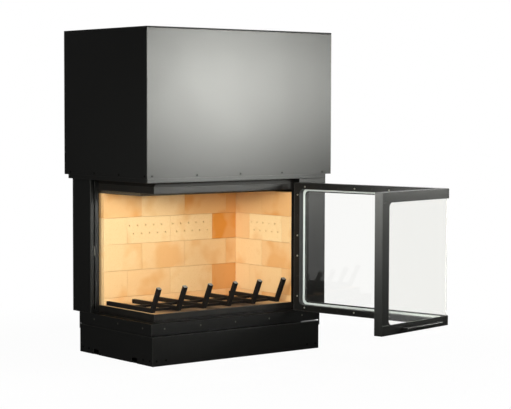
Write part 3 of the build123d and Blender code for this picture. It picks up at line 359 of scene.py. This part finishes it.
# %% [markdown]
# Four metals are left: screws plated with zinc, bright on the door and dulled on the fascia, screws
# blackened in hot oxide, the oiled mild steel of the lifting gear, and the galvanised air spigot with its
# crystal spangle about 12 mm across. The first three only differ in colour, gloss and the size of their
# patches, so one function makes them.

# %% Bare and plated metals
def plated(name, dark, light, roughness, patch):
    """A metal whose colour and roughness swing together in patches of the given width."""
    finish, tree, place = start_finish(name)
    cloud = noise(tree, place, patch, 4.0)
    tone = toned(tree, stretched(tree, cloud, 0.3, 0.7), dark, light)
    rough = stretched(tree, cloud, 0.3, 0.7, roughness + 0.06, roughness - 0.06)
    end_finish(tree, {"Base Color": tone, "Metallic": 1.0, "Roughness": rough})
    return finish


zinc = plated("bright zinc plate on a screw", "#b5b4ac", "#dedcd2", 0.32, 3 * MM)
dull_zinc = plated("dulled zinc plate on a screw", "#55544f", "#7a7972", 0.5, 3 * MM)
black_oxide = plated("hot black oxide on a screw", "#0e0e0e", "#1b1b1a", 0.6, 3 * MM)
mild_steel = plated("oiled mild steel", "#5d5b57", "#83817b", 0.42, 25 * MM)

spangle, tree, place = start_finish("galvanised sheet with spangle")
crystal = cells(tree, place, 12 * MM)
sheen = add(tree, "ShaderNodeSeparateColor", {"Color": crystal["Color"]}).outputs
end_finish(tree, {"Base Color": toned(tree, sheen[0], "#9fa3a4", "#c9ccca"), "Metallic": 1.0,
                  "Roughness": stretched(tree, sheen[1], 0.0, 1.0, 0.28, 0.5)})
print("finishes:", " / ".join(metal.name for metal in (zinc, dull_zinc, black_oxide, mild_steel, spangle)))

# %% [markdown]
# ## Sheet-metal pieces
# A imported node is loose triangles with knife-sharp edges. A real folded panel turns its corners on a small
# radius, and that radius is what draws the bright line along an edge. So each panel is copied, its
# triangles are joined, and its edges are rounded by a Bevel modifier. The rounded faces get the second
# finish, where the coat is thinner and its lighter colour is a painted highlight, and weighted normals keep
# the large faces flat to the eye.
#
# Where two solids of one node touch, their points merge too, and an edge gets three or four faces. A wall
# between the two has all its points on such edges and is taken out, which welds them. Solids that only
# meet at an edge are parted again.

# %% Join the triangles of a node
SAME_POINT = 0.001 * MM
SAME_FACE = math.radians(1)


def grouped(items, near):
    """The items in groups that hang together, where near gives an item's neighbours."""
    left, found = dict.fromkeys(items), []
    while left:
        group, open_ends = [], [left.popitem()[0]]
        while open_ends:
            item = open_ends.pop()
            group.append(item)
            for other in near(item):
                if other in left:
                    del left[other]
                    open_ends.append(other)
        found.append(group)
    return found


def blocks_of(shape):
    """The separate solids of a shape, each as its list of points."""
    return grouped(shape.verts, lambda point: [link.other_vert(point) for link in point.link_edges])


def patches_of(shape):
    """The faces in groups that hang together across edges of two faces."""
    return grouped(shape.faces, lambda face: [other for edge in face.edges if len(edge.link_faces) == 2
                                              for other in edge.link_faces])


def clear_contacts(shape):
    """Takes out the walls between touching solids, and parts solids that meet at an edge."""
    crowded = {point for edge in shape.edges if len(edge.link_faces) > 2 for point in edge.verts}
    walls = [patch for patch in patches_of(shape) if all(p in crowded for face in patch for p in face.verts)]
    bmesh.ops.delete(shape, geom=[face for patch in walls for face in patch], context="FACES")
    if any(len(edge.link_faces) > 2 for edge in shape.edges):
        for patch in patches_of(shape)[1:]:
            bmesh.ops.split(shape, geom=patch)


def loose(name):
    """A node's triangles as they are packed, each with its own points."""
    shape = bmesh.new()
    shape.from_mesh(frame["nodes"][name].data)
    return shape


def merge(shape, points):
    """Makes one point of those that lie on one another."""
    bmesh.ops.remove_doubles(shape, verts=points, dist=SAME_POINT)


def flatten(shape):
    """Makes one face of neighbours that lie in one plane, and gives the shape back."""
    bmesh.ops.dissolve_limit(shape, angle_limit=SAME_FACE, verts=shape.verts, edges=shape.edges)
    return shape


def joined(name):
    """A node's mesh as one clean shape: its points merged and its flat faces whole."""
    shape = loose(name)
    merge(shape, shape.verts)
    clear_contacts(shape)
    return flatten(shape)


print("ready to join", len(frame["nodes"]), "nodes")

# %% [markdown]
# A new piece hides the nodes that it is shown for and rides on the body of the node it is named after.
# The Bevel modifier works on a copy that is thrown away after, and the piece gets the mesh that comes out,
# so it carries no modifier itself.

# %% Round a node and show it
SHARP_FROM = math.radians(32)
# Edge radii by how a part is made or used.
CUT, FOLDED, WELDED, WORN, SOFT = 0.6 * MM, 0.8 * MM, 1.2 * MM, 1.6 * MM, 2.0 * MM


def put(name, data):
    """A new object with the mesh, lamp or camera, put into the scene."""
    thing = bpy.data.objects.new(name, data)
    bpy.context.scene.collection.objects.link(thing)
    return thing


def mesh_of(name, shape, finishes=()):
    """A mesh with the shape and its finishes. The shape is used up."""
    mesh = bpy.data.meshes.new(name)
    shape.to_mesh(mesh)
    shape.free()
    for finish in finishes:
        mesh.materials.append(finish)
    return mesh


def settled(thing):
    """The mesh that comes out of an object's modifiers. The object is used up."""
    whole = bpy.data.meshes.new_from_object(thing.evaluated_get(bpy.context.evaluated_depsgraph_get()))
    bpy.data.objects.remove(thing)
    return whole


def stand_in_for(name, mesh, suffix, also=()):
    """Shows the mesh in place of the node, and of others in also, on the node's body."""
    piece = put(name + suffix, mesh)
    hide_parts(name, *also)
    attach(piece, body_of(frame["nodes"][name])[0])
    return piece


def rounded(name, radius, finishes, steps=2, shape=None, own_faces=False, even=False, also=()):
    """The node's piece with rounded edges, in the last finish unless own_faces keeps each face's own."""
    mesh = mesh_of(name + "_sharp", shape or joined(name), finishes)
    mesh.shade_smooth()
    sharp = put(name + "_sharp", mesh)
    bevel = sharp.modifiers.new("edge radius", "BEVEL")
    bevel.width, bevel.segments, bevel.limit_method = radius, steps, "ANGLE"
    bevel.angle_limit, bevel.use_clamp_overlap = SHARP_FROM, False
    # The bevel may slide a corner along a seam within a flat face, unless it has to keep an even width.
    bevel.loop_slide = not even
    bevel.material = -1 if own_faces else len(finishes) - 1
    flat = sharp.modifiers.new("flat faces", "WEIGHTED_NORMAL")
    flat.keep_sharp = True
    return stand_in_for(name, settled(sharp), "_rounded", also)


# %% [markdown]
# Outside panels are 2 mm and 3 mm sheet, folded on a press brake to about 0.8 mm outside. The handle is a
# milled bar with softer edges.

# %% Coated panels and handle
COATED = ["casing_front", "casing_left", "casing_right", "casing_rear", "casing_trim", "fascia_front",
          "fascia_left", "plinth_front", "plinth_left", "plinth_right", "plinth_rear", "rear_panel",
          "right_panel", "right_column_front", "left_column", "deck_plate", "plinth_floor"]
for name in COATED:
    rounded(name, FOLDED, [coat, thin_coat_and_glint])
rounded("door_handle", SOFT, [coat, thin_coat_and_glint])
rounded("casing_lid", FOLDED, [lid_coat])
print(len(COATED), "panels, the handle and the lid")

# %% [markdown]
# The glass is held by two frames of flat strip, one in each leaf, and they meet in a mitre at the door's
# corner. Merged together they would share points there, so each frame is merged for itself. The crowded
# points of a trial merge mark the mitre, and a face in the mitre belongs to the frame that it faces from.
# A face with a window in it can't be one face of a mesh, so a few seams stay in it, at any angle. The bevel
# is told to keep an even width there, or it would slide a corner far along such a seam.

# %% Glass retainers in two frames
def merged_apart(name):
    """A node whose solids meet in one upright plane as a clean shape, with either side closed for itself."""
    shape = loose(name)
    trial = shape.copy()
    merge(trial, trial.verts)
    crowded = [p.co.copy() for e in trial.edges if len(e.link_faces) > 2 for p in e.verts]
    trial.free()
    at = crowded[0]
    far = max(crowded, key=lambda point: (point.xy - at.xy).length)
    across = (far - at).cross(Vector((0, 0, 1))).normalized()
    sides = ({}, {})
    for face in shape.faces:
        beyond = (face.calc_center_median() - at).dot(across)
        if abs(beyond) < 10 * SAME_POINT:
            beyond = -face.normal.dot(across)
        sides[beyond > 0].update(dict.fromkeys(face.verts))
    for points in sides:
        merge(shape, list(points))
    return flatten(shape)


def open_edges(shape):
    """How many edges of a shape don't have two faces."""
    return len([edge for edge in shape.edges if not edge.is_manifold])


shape = merged_apart("glass_retainers")
print("retainers:", len(blocks_of(shape)), "frames,", open_edges(shape), "open edges")
rounded("glass_retainers", FOLDED, [coat, thin_coat_and_glint], shape=shape, even=True)

# %% [markdown]
# The door frame is two stiles and four rails, welded at the corners and ground flush, so no joint shows. The
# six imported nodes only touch. A Boolean modifier unites them into one closed shape before its edges are
# rounded, which is what grinding does to the real one.

# %% Welded door frame
def welded(names):
    """Touching nodes as one closed shape, with the walls between them gone."""
    first, *others = [put(name + "_loose", mesh_of(name + "_loose", joined(name))) for name in names]
    for other in others:
        weld = first.modifiers.new("weld", "BOOLEAN")
        weld.operation, weld.solver, weld.object = "UNION", "EXACT", other
    shape = bmesh.new()
    shape.from_mesh(settled(first))
    bmesh.ops.remove_doubles(shape, verts=shape.verts, dist=10 * SAME_POINT)
    bmesh.ops.triangulate(shape, faces=shape.faces)
    clear_contacts(shape)
    for other in others:
        bpy.data.objects.remove(other)
    return shape


DOOR_FRAME = ["door_stile", "door_top_rail", "door_bottom_rail", "side_stile", "side_top_rail",
              "side_bottom_rail"]
shape = welded(DOOR_FRAME)
print("door frame:", len(shape.verts), "points,", open_edges(shape), "open edges")
rounded(DOOR_FRAME[0], WELDED, [coat, thin_coat_and_glint], shape=shape, also=DOOR_FRAME[1:])

# %% [markdown]
# Inside, the painted parts are cut from plate and only deburred, so their edges are rounded less. Logs and
# brushes rub on the sills and heads, and their edges are worn round; their lighter edge finish is a painted
# highlight. The lifting gear is plain steel, the baffle's pressed edges crumble to a soft round, and the
# spigot is thin sheet.

# %% Parts inside the shell
TOUCHED = ["sill_front", "sill_left", "head_front", "head_left"]
PAINTED = ["right_jamb", "hearth_plate", "hearth_bearers", "back_liner", "right_liner", "hood_plates",
           "hood_cover", "flue_socket", "hinge_pintles"]
GEAR = ["counterweights", "door_carriages", "shaft_bearings", "runner_rails"]
for name in TOUCHED:
    rounded(name, WORN, [chamber_paint, thin_coat_and_glint], steps=3)
for name in PAINTED:
    rounded(name, CUT, [chamber_paint])
for name in GEAR:
    rounded(name, FOLDED, [mild_steel])
rounded("baffle_plate", SOFT, [board])
rounded("air_spigot", 0.4 * MM, [spangle])
print(len(TOUCHED + PAINTED), "painted parts and", len(GEAR), "of the gear")

# %% [markdown]
# The left fascia hangs 8 mm outside the plinth and stops 3 mm above it. That slit shows black, which is
# shade; here a thin black folded angle stands behind it as a dark piece put where there is only shade, so
# that no light shows through. It is small trim, drawn here from its L-shaped section, pushed along the
# deck plate that carries it.

# %% Dark angle behind the left fascia, standing for the slit's shade
ANGLE_SHEET, ANGLE_FOOT, ANGLE_LEG = 1.5 * MM, 14 * MM, 24 * MM
SECTION = [(0, 0), (ANGLE_FOOT, 0), (ANGLE_FOOT, ANGLE_SHEET), (ANGLE_SHEET, ANGLE_SHEET),
           (ANGLE_SHEET, ANGLE_LEG), (0, ANGLE_LEG)]
deck_low, deck_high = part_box("deck_plate")
left_side = deck_low.x + 2 * MM
front_end = deck_low.y + 20 * MM
rear_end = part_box("fascia_left")[1].y + 3 * MM
shape = bmesh.new()
outline = [shape.verts.new((left_side + aside, front_end, deck_high.z + up)) for aside, up in SECTION]
pushed = bmesh.ops.extrude_face_region(shape, geom=[shape.faces.new(outline)])
bmesh.ops.translate(shape, vec=(0, rear_end - front_end, 0),
                    verts=[v for v in pushed["geom"] if isinstance(v, bmesh.types.BMVert)])
bmesh.ops.recalc_face_normals(shape, faces=shape.faces)
# A dark piece that stands for the shade in the slit.
angle = put("slit_shade_angle", mesh_of("slit_shade_angle", shape, [coat]))
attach(angle, body_of(frame["nodes"]["deck_plate"])[0])
print("slit shade angle", round((rear_end - front_end) / MM), "mm long")

# %% [markdown]
# Some nodes already have the right shape: the bent bars with their rounded edges, the ties, the shaft and
# the flap. They keep their mesh and only get a better finish.

# %% Finishes on the nodes that stay
KEPT = {"grate_bars": bar_steel, "grate_ties": bar_steel, "chain_shaft": mild_steel,
        "air_flap": mild_steel}
for name, finish in KEPT.items():
    frame["nodes"][name].data.materials[0] = finish
print("kept:", ", ".join(KEPT))

# %% [markdown]
# A pane is two polished faces and a ground rim with its arris taken off. The rim is every face but the two
# largest.

# %% Panes with a ground rim
for name in ("front_glass", "side_glass"):
    shape = joined(name)
    polished = sorted(shape.faces, key=lambda face: face.calc_area())[-2:]
    for face in shape.faces:
        face.material_index = 0 if face in polished else 1
    piece = rounded(name, 0.5 * MM, [pane, ground], shape=shape, own_faces=True)
    # A clear pane throws almost no shadow, and a traced one would come out black.
    piece.visible_shadow = False
    print(name, "with", len(piece.data.polygons), "faces")

# %% [markdown]
# ## Firebricks
# Each brick is its own block with a rubbed arris about 0.6 mm wide. A wall starts with a course of half
# height, and in every second course the joints are moved along. The walls are laid from sorted bricks, so a
# table gives every brick its kiln tone, judged, from 0, straw, to 1, orange. The tone goes into an
# attribute on the brick's points, next to a shift that moves its grain.

# %% Bricks with a tone each
# The height of a course and of the lowest one, a brick's length, and the slack in telling them apart.
COURSE, FOOT_COURSE, BRICK, SLACK = 114 * MM, 57 * MM, 228 * MM, 20 * MM
# The length of the first brick at the corner, in even and in odd courses.
BACK_FIRST = (195 * MM, 118 * MM)
RIGHT_FIRST = (188 * MM, 100 * MM)
# One row for each course from the foot up, from the left on the back wall and to the front on the right one.
BACK_TONES = (
    (0.18, 0.22, 0.30, 0.50),
    (0.26, 0.30, 0.16, 0.76),
    (0.20, 0.26, 0.24, 0.34),
    (0.14, 0.10, 0.13, 0.80),
    (0.46, 0.22, 0.56, 0.74),
)
RIGHT_TONES = (
    (0.30, 0.35, 0.45),
    (0.16, 0.20, 0.40),
    (0.10, 0.32, 0.30),
    (0.34, 0.00, 0.18),
    (0.48, 0.52, 0.40),
)
# Hearth bricks take turns through these, by uneven strides across and back, so that no pattern shows.
FLOOR_TONES = (0.25, 0.35, 0.20, 0.40, 0.30)
FLOOR_STRIDES = Vector((73, 51, 0))
back_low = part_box("back_bricks")[0]
right_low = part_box("right_bricks")[0]


def span(block):
    """Lowest and highest corner of a block's points."""
    return (Vector([min(p.co[i] for p in block) for i in range(3)]),
            Vector([max(p.co[i] for p in block) for i in range(3)]))


def place_in_row(distance, first, pitch):
    """Which brick of a row a distance falls in, where the first is shorter than the rest."""
    return max(0, math.ceil((distance + SLACK - first) / pitch))


def brick_tone(low, high):
    """Looks a brick up in the tables by its wall, its course and its place along the wall."""
    if high.z < HEARTH_TOP + SLACK:
        return FLOOR_TONES[int(abs(((low + high) / 2).dot(FLOOR_STRIDES))) % len(FLOOR_TONES)]
    course = place_in_row(low.z - back_low.z, FOOT_COURSE, COURSE)
    if low.x > right_low.x - SLACK / 2:
        tones, first, along = RIGHT_TONES[course], RIGHT_FIRST, back_low.y - high.y
    else:
        tones, first, along = BACK_TONES[course], BACK_FIRST, low.x - back_low.x
    return tones[min(place_in_row(along, first[course % 2], BRICK), len(tones) - 1)]


bricks = 0
for name in ("back_bricks", "right_bricks", "air_bricks", "floor_bricks"):
    shape = joined(name)
    tones = shape.verts.layers.float.new("kiln_tone")
    shifts = shape.verts.layers.float_vector.new("kiln_shift")
    for block in blocks_of(shape):
        low, high = span(block)
        tone = brick_tone(low, high)
        for point in block:
            point[tones] = tone
            # Any uneven multiples will do: they only start each brick's grain somewhere else.
            point[shifts] = (low.z * 17 + low.x * 3, low.x * 11, low.y * 13 + tone)
        bricks += 1
    rounded(name, CUT, [firebrick], shape=shape)
print(bricks, "bricks toned")

# %% [markdown]
# ## Lifting chains
# A leaf chain is rows of steel plates on pins. The imported chain is a plain bar, and its plates are too many
# and too well hidden to be worth drawing one by one. They repeat every 12.7 mm, so bands of a wave pattern
# stand for them, with the gaps between the plates painted dark as shade.

# %% Oiled leaf chain
CHAIN_PITCH = 12.7 * MM
chain_steel, tree, place = start_finish("oiled leaf chain")
plate = stretched(tree, bands(tree, place, CHAIN_PITCH, "Z"), 0.1, 0.3)
# The dark colour in the gaps is painted shade between the plates.
end_finish(tree, {"Base Color": toned(tree, plate, "#1b1a19", "#6d6b66"), "Metallic": 1.0,
                  "Roughness": stretched(tree, plate, 0.0, 1.0, 0.8, 0.35),
                  "Normal": bumped(tree, plate, 0.8, 1.0 * MM)})
print("finish:", chain_steel.name)

# %% [markdown]
# The door hangs on two such chains. Each rises from its carriage, passes over a sprocket and comes down to a
# counterweight. When the door rises, the front run shortens and the rear one lengthens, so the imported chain
# is cut in three, level with the foot of the sprocket. The part over the sprocket stays on the frame, and
# each run is blended from the frame to what hangs on it.

# %% Chain runs
SPROCKET_RADIUS = 20 * MM
shaft_low, shaft_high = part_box("chain_shaft")
shaft_y, shaft_z = [round(middle, 4) for middle in ((shaft_low + shaft_high) / 2).yz]
cut_height = round(shaft_z - SPROCKET_RADIUS, 4)


def chain_part(suffix, above, side=0):
    """The chains above or below the cut, closed again, on both sides of the shaft or on one."""
    shape = joined("lift_chains")
    bmesh.ops.bisect_plane(shape, geom=shape.verts[:] + shape.edges[:] + shape.faces[:], clear_outer=True,
                           plane_co=(0, 0, cut_height), plane_no=(0, 0, -1 if above else 1))
    bmesh.ops.holes_fill(shape, edges=[edge for edge in shape.edges if edge.is_boundary])
    for block in blocks_of(shape):
        if (block[0].co.y - shaft_y) * side < 0:
            bmesh.ops.delete(shape, geom=block, context="VERTS")
    piece = put("lift_chains" + suffix, mesh_of("chain" + suffix, shape, [chain_steel]))
    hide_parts("lift_chains")
    return piece


top = chain_part("_over_shaft", above=True)
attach(top, "frame")
for suffix, side, carried in (("_front_run", -1, "lift_carriages"), ("_rear_run", 1, "counterweights")):
    run = chain_part(suffix, above=False, side=side)
    lowest = min(v.co.z for v in run.data.vertices)
    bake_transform(run, "frame", carried, start=(0, shaft_y, cut_height), end=(0, shaft_y, lowest))
    print(run.name, "runs down to", round(lowest, 3), "m with", len(run.data.vertices), "points")

# %% [markdown]
# ## Glass tape
# The tape is soft: pressed between glass and steel it bulges to a rounded section. Its flat strips get a
# radius of nearly half their thickness in several steps. The tape under the retainers is natural white. The
# one towards the frame is graphited, so that it doesn't show from outside, and is the larger of each leaf's
# two rings.

# %% Rounded tape
shape = merged_apart("glass_gaskets")
rings = sorted(blocks_of(shape), key=lambda ring: sum(
    face.calc_area() for face in shape.faces if face.verts[0] in set(ring)))
# By area come the side leaf's small and large ring, then the front leaf's.
graphited = set(rings[1] + rings[3])
for face in shape.faces:
    face.material_index = 0 if face.verts[0] in graphited else 1
rounded("glass_gaskets", 1.0 * MM, [black_tape, tape], steps=3, shape=shape, own_faces=True, even=True)
print(len(rings), "rings of tape rounded")

# %% [markdown]
# ## Screws
# Button-head screws hold the panels and the glass. All three kinds are one Geometry Nodes tree: a cylinder
# whose top is domed and dished by moving its rings, set on a point wherever the model has a screw and
# turned to face the way that screw faces.

# %% One tree for every screw
def screw_tree():
    """Geometry Nodes tree: a domed head with a round socket on each point."""
    tree = bpy.data.node_groups.new("button-head screws", "GeometryNodeTree")
    for title, kind, value in (("Geometry", "NodeSocketGeometry", None),
                               ("Head radius", "NodeSocketFloat", 4.5 * MM),
                               ("Head height", "NodeSocketFloat", 1.6 * MM),
                               ("Rim share", "NodeSocketFloat", 0.45),
                               ("Socket share", "NodeSocketFloat", 0.5),
                               ("Socket floor", "NodeSocketFloat", 0.3),
                               ("Finish", "NodeSocketMaterial", None)):
        socket = tree.interface.new_socket(title, in_out="INPUT", socket_type=kind)
        if value is not None:
            socket.default_value = value
    tree.interface.new_socket("Geometry", in_out="OUTPUT", socket_type="NodeSocketGeometry")
    given = add(tree, "NodeGroupInput").outputs
    blank = add(tree, "GeometryNodeMeshCylinder",
                {"Vertices": 18, "Side Segments": 1, "Fill Segments": 5, "Radius": given["Head radius"],
                 "Depth": given["Head height"]})
    half = worked_out(tree, "MULTIPLY", given["Head height"], 0.5)
    up = add(tree, "ShaderNodeCombineXYZ", {"Z": half})
    raised = add(tree, "GeometryNodeTransform", {"Geometry": blank.outputs[0], "Translation": up.outputs[0]})
    spot = add(tree, "GeometryNodeInputPosition").outputs[0]
    axes = add(tree, "ShaderNodeSeparateXYZ", {0: spot}).outputs
    flat = add(tree, "ShaderNodeVectorMath", {0: spot, 1: (1.0, 1.0, 0.0)}, operation="MULTIPLY")
    out = add(tree, "ShaderNodeVectorMath", {0: flat.outputs[0]}, operation="LENGTH")
    share = worked_out(tree, "DIVIDE", out.outputs["Value"], given["Head radius"])
    dome = stretched(tree, worked_out(tree, "POWER", share, 2.0), 0.0, 1.0, 1.0, given["Rim share"])
    inside = worked_out(tree, "LESS_THAN", share, given["Socket share"])
    dished = add(tree, "ShaderNodeMix", {0: inside, 2: dome, 3: given["Socket floor"]}, data_type="FLOAT")
    height = worked_out(tree, "MULTIPLY", axes["Z"], dished.outputs[0])
    target = add(tree, "ShaderNodeCombineXYZ", {"X": axes["X"], "Y": axes["Y"], "Z": height})
    head = add(tree, "GeometryNodeSetPosition", {"Geometry": raised.outputs[0],
                                                 "Position": target.outputs[0]})
    faces = add(tree, "GeometryNodeInputNamedAttribute", {"Name": "screw_facing"},
                data_type="FLOAT_VECTOR")
    turn = add(tree, "FunctionNodeAlignRotationToVector", {"Vector": faces.outputs["Attribute"]}, axis="Z")
    placed = add(tree, "GeometryNodeInstanceOnPoints", {"Points": given["Geometry"],
                                                        "Instance": head.outputs[0],
                                                        "Rotation": turn.outputs[0]})
    real = add(tree, "GeometryNodeRealizeInstances", {"Geometry": placed.outputs[0]})
    clad = add(tree, "GeometryNodeSetMaterial", {"Geometry": real.outputs[0], "Material": given["Finish"]})
    add(tree, "NodeGroupOutput", {"Geometry": clad.outputs[0]})
    return tree


screws_on_points = screw_tree()
print("tree:", screws_on_points.name, len(screws_on_points.nodes), "nodes")

# %% [markdown]
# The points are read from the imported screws: the largest flat face of each is the top of its head, and says
# where the head is and which way it faces. The tree then sets a head on every one of them.

# %% Screws on the casing, the fascia and the door
# Radius and height of the head, and its finish.
SCREWS = {"dark_screws": (4.5 * MM, 1.6 * MM, black_oxide),
          "fascia_screws": (4.0 * MM, 1.6 * MM, dull_zinc),
          "retainer_screws": (3.6 * MM, 2.0 * MM, zinc)}
RIM_FROM = math.radians(35)


def screw_row(name, radius, height, finish):
    """Puts a head on every screw of the node and shows them in its place."""
    shape = joined(name)
    places = []
    for block in blocks_of(shape):
        own = set(block)
        top = max((f for f in shape.faces if f.verts[0] in own), key=lambda face: face.calc_area())
        places.append((top.calc_center_median() - top.normal * height, top.normal.copy()))
    shape.free()
    mesh = bpy.data.meshes.new(name + "_points")
    mesh.from_pydata([place for place, _ in places], [], [])
    facing = mesh.attributes.new("screw_facing", "FLOAT_VECTOR", "POINT")
    for i, (_, way) in enumerate(places):
        facing.data[i].vector = way
    carrier = put(name + "_points", mesh)
    maker = carrier.modifiers.new("screws", "NODES")
    maker.node_group = screws_on_points
    wanted = {"Head radius": radius, "Head height": height, "Finish": finish}
    for item in screws_on_points.interface.items_tree:
        if item.in_out == "INPUT" and item.name in wanted:
            maker[item.identifier] = wanted[item.name]
    heads = settled(carrier)
    heads.shade_smooth()
    heads.set_sharp_from_angle(angle=RIM_FROM)
    stand_in_for(name, heads, "_heads")
    return len(places)


for name, (radius, height, finish) in SCREWS.items():
    print(screw_row(name, radius, height, finish), "heads on", name)

# %% [markdown]
# ## Studio
# The floor is white paper. It is mostly drawn at its own white, with a share of real light left in, so that
# the plinth still casts its soft contact shadow. Rays that see it directly, or through glass, or mirrored,
# all get that white; the mirrored share is low because the room in front of the set is dim. Light that a
# matt surface sends on through the shut door's panes must not find that white, or the bricks would glow.

# %% Floor
PAPER_REACH = 40.0
MIRRORED_PAPER = 0.05


def while_looking(tree, share):
    """The share for rays that met no matt surface since the camera, and 0 for all others."""
    matt_met = add(tree, "ShaderNodeLightPath").outputs["Diffuse Depth"]
    return worked_out(tree, "MULTIPLY", share, worked_out(tree, "LESS_THAN", matt_met, 0.5))


def mirrored_rays(tree):
    """1 for rays that a gloss sent on, and 0 for all others, such as those through glass."""
    path = add(tree, "ShaderNodeLightPath").outputs
    return worked_out(tree, "SUBTRACT", path["Is Glossy Ray"], path["Is Transmission Ray"], clamp=True)


def paper_white(tree, lit, own):
    """Mixes a lit surface with a plain white one, more of it for rays that look at the paper."""
    path = add(tree, "ShaderNodeLightPath").outputs
    straight = worked_out(tree, "ADD", path["Is Camera Ray"], path["Is Transmission Ray"], clamp=True)
    mirrored = mirrored_rays(tree)
    share = worked_out(tree, "ADD", worked_out(tree, "MULTIPLY", straight, own), mirrored, clamp=True)
    white = stretched(tree, mirrored, 0.0, 1.0, 1.0, MIRRORED_PAPER)
    plain = add(tree, "ShaderNodeEmission", {"Strength": white}).outputs[0]
    return add(tree, "ShaderNodeMixShader", {0: while_looking(tree, share), 1: lit, 2: plain})


paper, tree, place = start_finish("white background paper")
reach = add(tree, "ShaderNodeVectorMath", {0: place}, operation="LENGTH").outputs["Value"]
matt = add(tree, "ShaderNodeBsdfDiffuse", {"Color": linear("#f6f6f4")}).outputs[0]
look = paper_white(tree, matt, stretched(tree, reach, 0.9, 1.8, 0.95, 1.0))
add(tree, "ShaderNodeOutputMaterial", {"Surface": look.outputs[0]})
shape = bmesh.new()
bmesh.ops.create_grid(shape, x_segments=1, y_segments=1, size=PAPER_REACH)
floor = put("paper_floor", mesh_of("paper_floor", shape, [paper]))
print("floor laid")

# %% [markdown]
# The camera stands low and far to the front left, about 7 m away with a long lens, which keeps the uprights
# upright. Its place was worked out from the corners of the casing and the door, and its focal length too,
# in pixels of a picture 511 wide. Blender wants that as millimetres on a sensor.

# %% Camera
PICTURE_WIDTH, FOCAL_PIXELS, SENSOR_WIDTH = 511, 1636.1, 36.0
CAMERA_PLACE = (-4.1967, -5.6994, 1.0537)
YAW, PITCH, ROLL = math.radians(38.36), math.radians(3.43), math.radians(0.15)
camera = put("camera", bpy.data.cameras.new("camera"))
camera.data.sensor_width = SENSOR_WIDTH
camera.data.sensor_fit = "HORIZONTAL"
camera.data.lens = SENSOR_WIDTH * FOCAL_PIXELS / PICTURE_WIDTH
turn = (Matrix.Rotation(-YAW, 4, "Z") @ Matrix.Rotation(math.pi / 2 - PITCH, 4, "X")
        @ Matrix.Rotation(ROLL, 4, "Z"))
camera.matrix_world = Matrix.Translation(CAMERA_PLACE) @ turn
camera.data.clip_end = 200.0
bpy.context.scene.camera = camera
print("lens", round(camera.data.lens, 2), "mm")

# %% [markdown]
# Satin black shows its lamps. The one behind the large grey glow stands 3 m out where the casing's front
# mirrors it to the camera, narrowed so that the plinth stays dark, and a weaker one beside it carries the
# glow on to the edge. A broad soft lamp beside the camera fills the fire chamber, and one from the left
# reaches its right wall. Two narrow ones give the stile and the door rails their sheen, and a high one
# behind draws the edges of the back.

# %% Lamps
DIFFUSER_TINT = (0.99, 1.0, 0.94)
# Name, place, aim and size in metres, power in watts, spread in degrees.
LAMPS = (
    ("front glow", (1.54, -2.71, 1.13), (-0.13, -0.31, 1.28), (0.6, 0.5), 6.8, 44.0),
    ("chamber fill", (-2.7, -4.0, 1.5), (-0.1, 0.0, 0.45), (1.6, 1.2), 128.0, 180.0),
    ("front glow edge", (2.75, -2.55, 1.2), (0.45, -0.31, 1.2), (0.4, 0.5), 2.1, 44.0),
    ("left window", (-2.8, -0.8, 0.95), (0.4, -0.1, 0.42), (0.9, 0.35), 2.9, 42.0),
    ("stile spot", (-2.23, -0.09, 1.05), (0.05, -1.13, 0.6), (0.4, 0.4), 1.6, 26.0),
    ("right strip", (2.8, -2.1, 1.5), (0.33, -1.08, 0.72), (0.4, 1.2), 2.0, 19.0),
    ("back window", (0.9, 3.9, 3.1), (0.0, 0.3, 0.75), (2.2, 1.2), 60.0, 180.0),
)
for name, at, towards, size, power, spread in LAMPS:
    lamp = bpy.data.lights.new(name, "AREA")
    lamp.shape, lamp.size, lamp.size_y, lamp.energy = "RECTANGLE", size[0], size[1], power
    lamp.spread, lamp.color = math.radians(spread), DIFFUSER_TINT
    aim = (Vector(towards) - Vector(at)).to_track_quat("-Z", "Y")
    put(name, lamp).matrix_world = Matrix.Translation(at) @ aim.to_matrix().to_4x4()
print(len(LAMPS), "lamps placed")

# %% [markdown]
# The world is the room. Looked at directly or through glass it is the white backdrop. Mirrors see that
# backdrop too, but only where it hangs, behind the set as the camera sees it; the rest of the room is dim.
# The light that the room itself gives is a plain, even share.

# %% World
BACKDROP_WAY = (0.62, 0.78, 0.0)  # where the camera looks, seen from above
ROOM_LIGHT = 0.35
world = bpy.data.worlds.new("studio room")
bpy.context.scene.world = world
world.use_nodes = True
tree = world.node_tree
tree.nodes.clear()
path = add(tree, "ShaderNodeLightPath").outputs
way = add(tree, "ShaderNodeTexCoord").outputs["Generated"]
behind = add(tree, "ShaderNodeVectorMath", {0: way, 1: BACKDROP_WAY}, operation="DOT_PRODUCT")
hangs = stretched(tree, behind.outputs["Value"], 0.45, 0.8, 0.02, 1.0, interpolation_type="SMOOTHSTEP")
backdrop = toned(tree, mirrored_rays(tree), "#ffffff", hangs)
seen = add(tree, "ShaderNodeBackground", {"Color": backdrop, "Strength": 1.0})
given_off = add(tree, "ShaderNodeBackground", {"Color": linear("#fbfbff"), "Strength": ROOM_LIGHT})
looks = worked_out(tree, "ADD", path["Is Camera Ray"], path["Is Glossy Ray"], clamp=True)
looks = worked_out(tree, "ADD", looks, path["Is Transmission Ray"], clamp=True)
both = add(tree, "ShaderNodeMixShader", {0: while_looking(tree, looks), 1: given_off.outputs[0],
                                         2: seen.outputs[0]})
add(tree, "ShaderNodeOutputWorld", {"Surface": both.outputs[0]})
bpy.context.scene.view_settings.view_transform = "Standard"
print("world set")
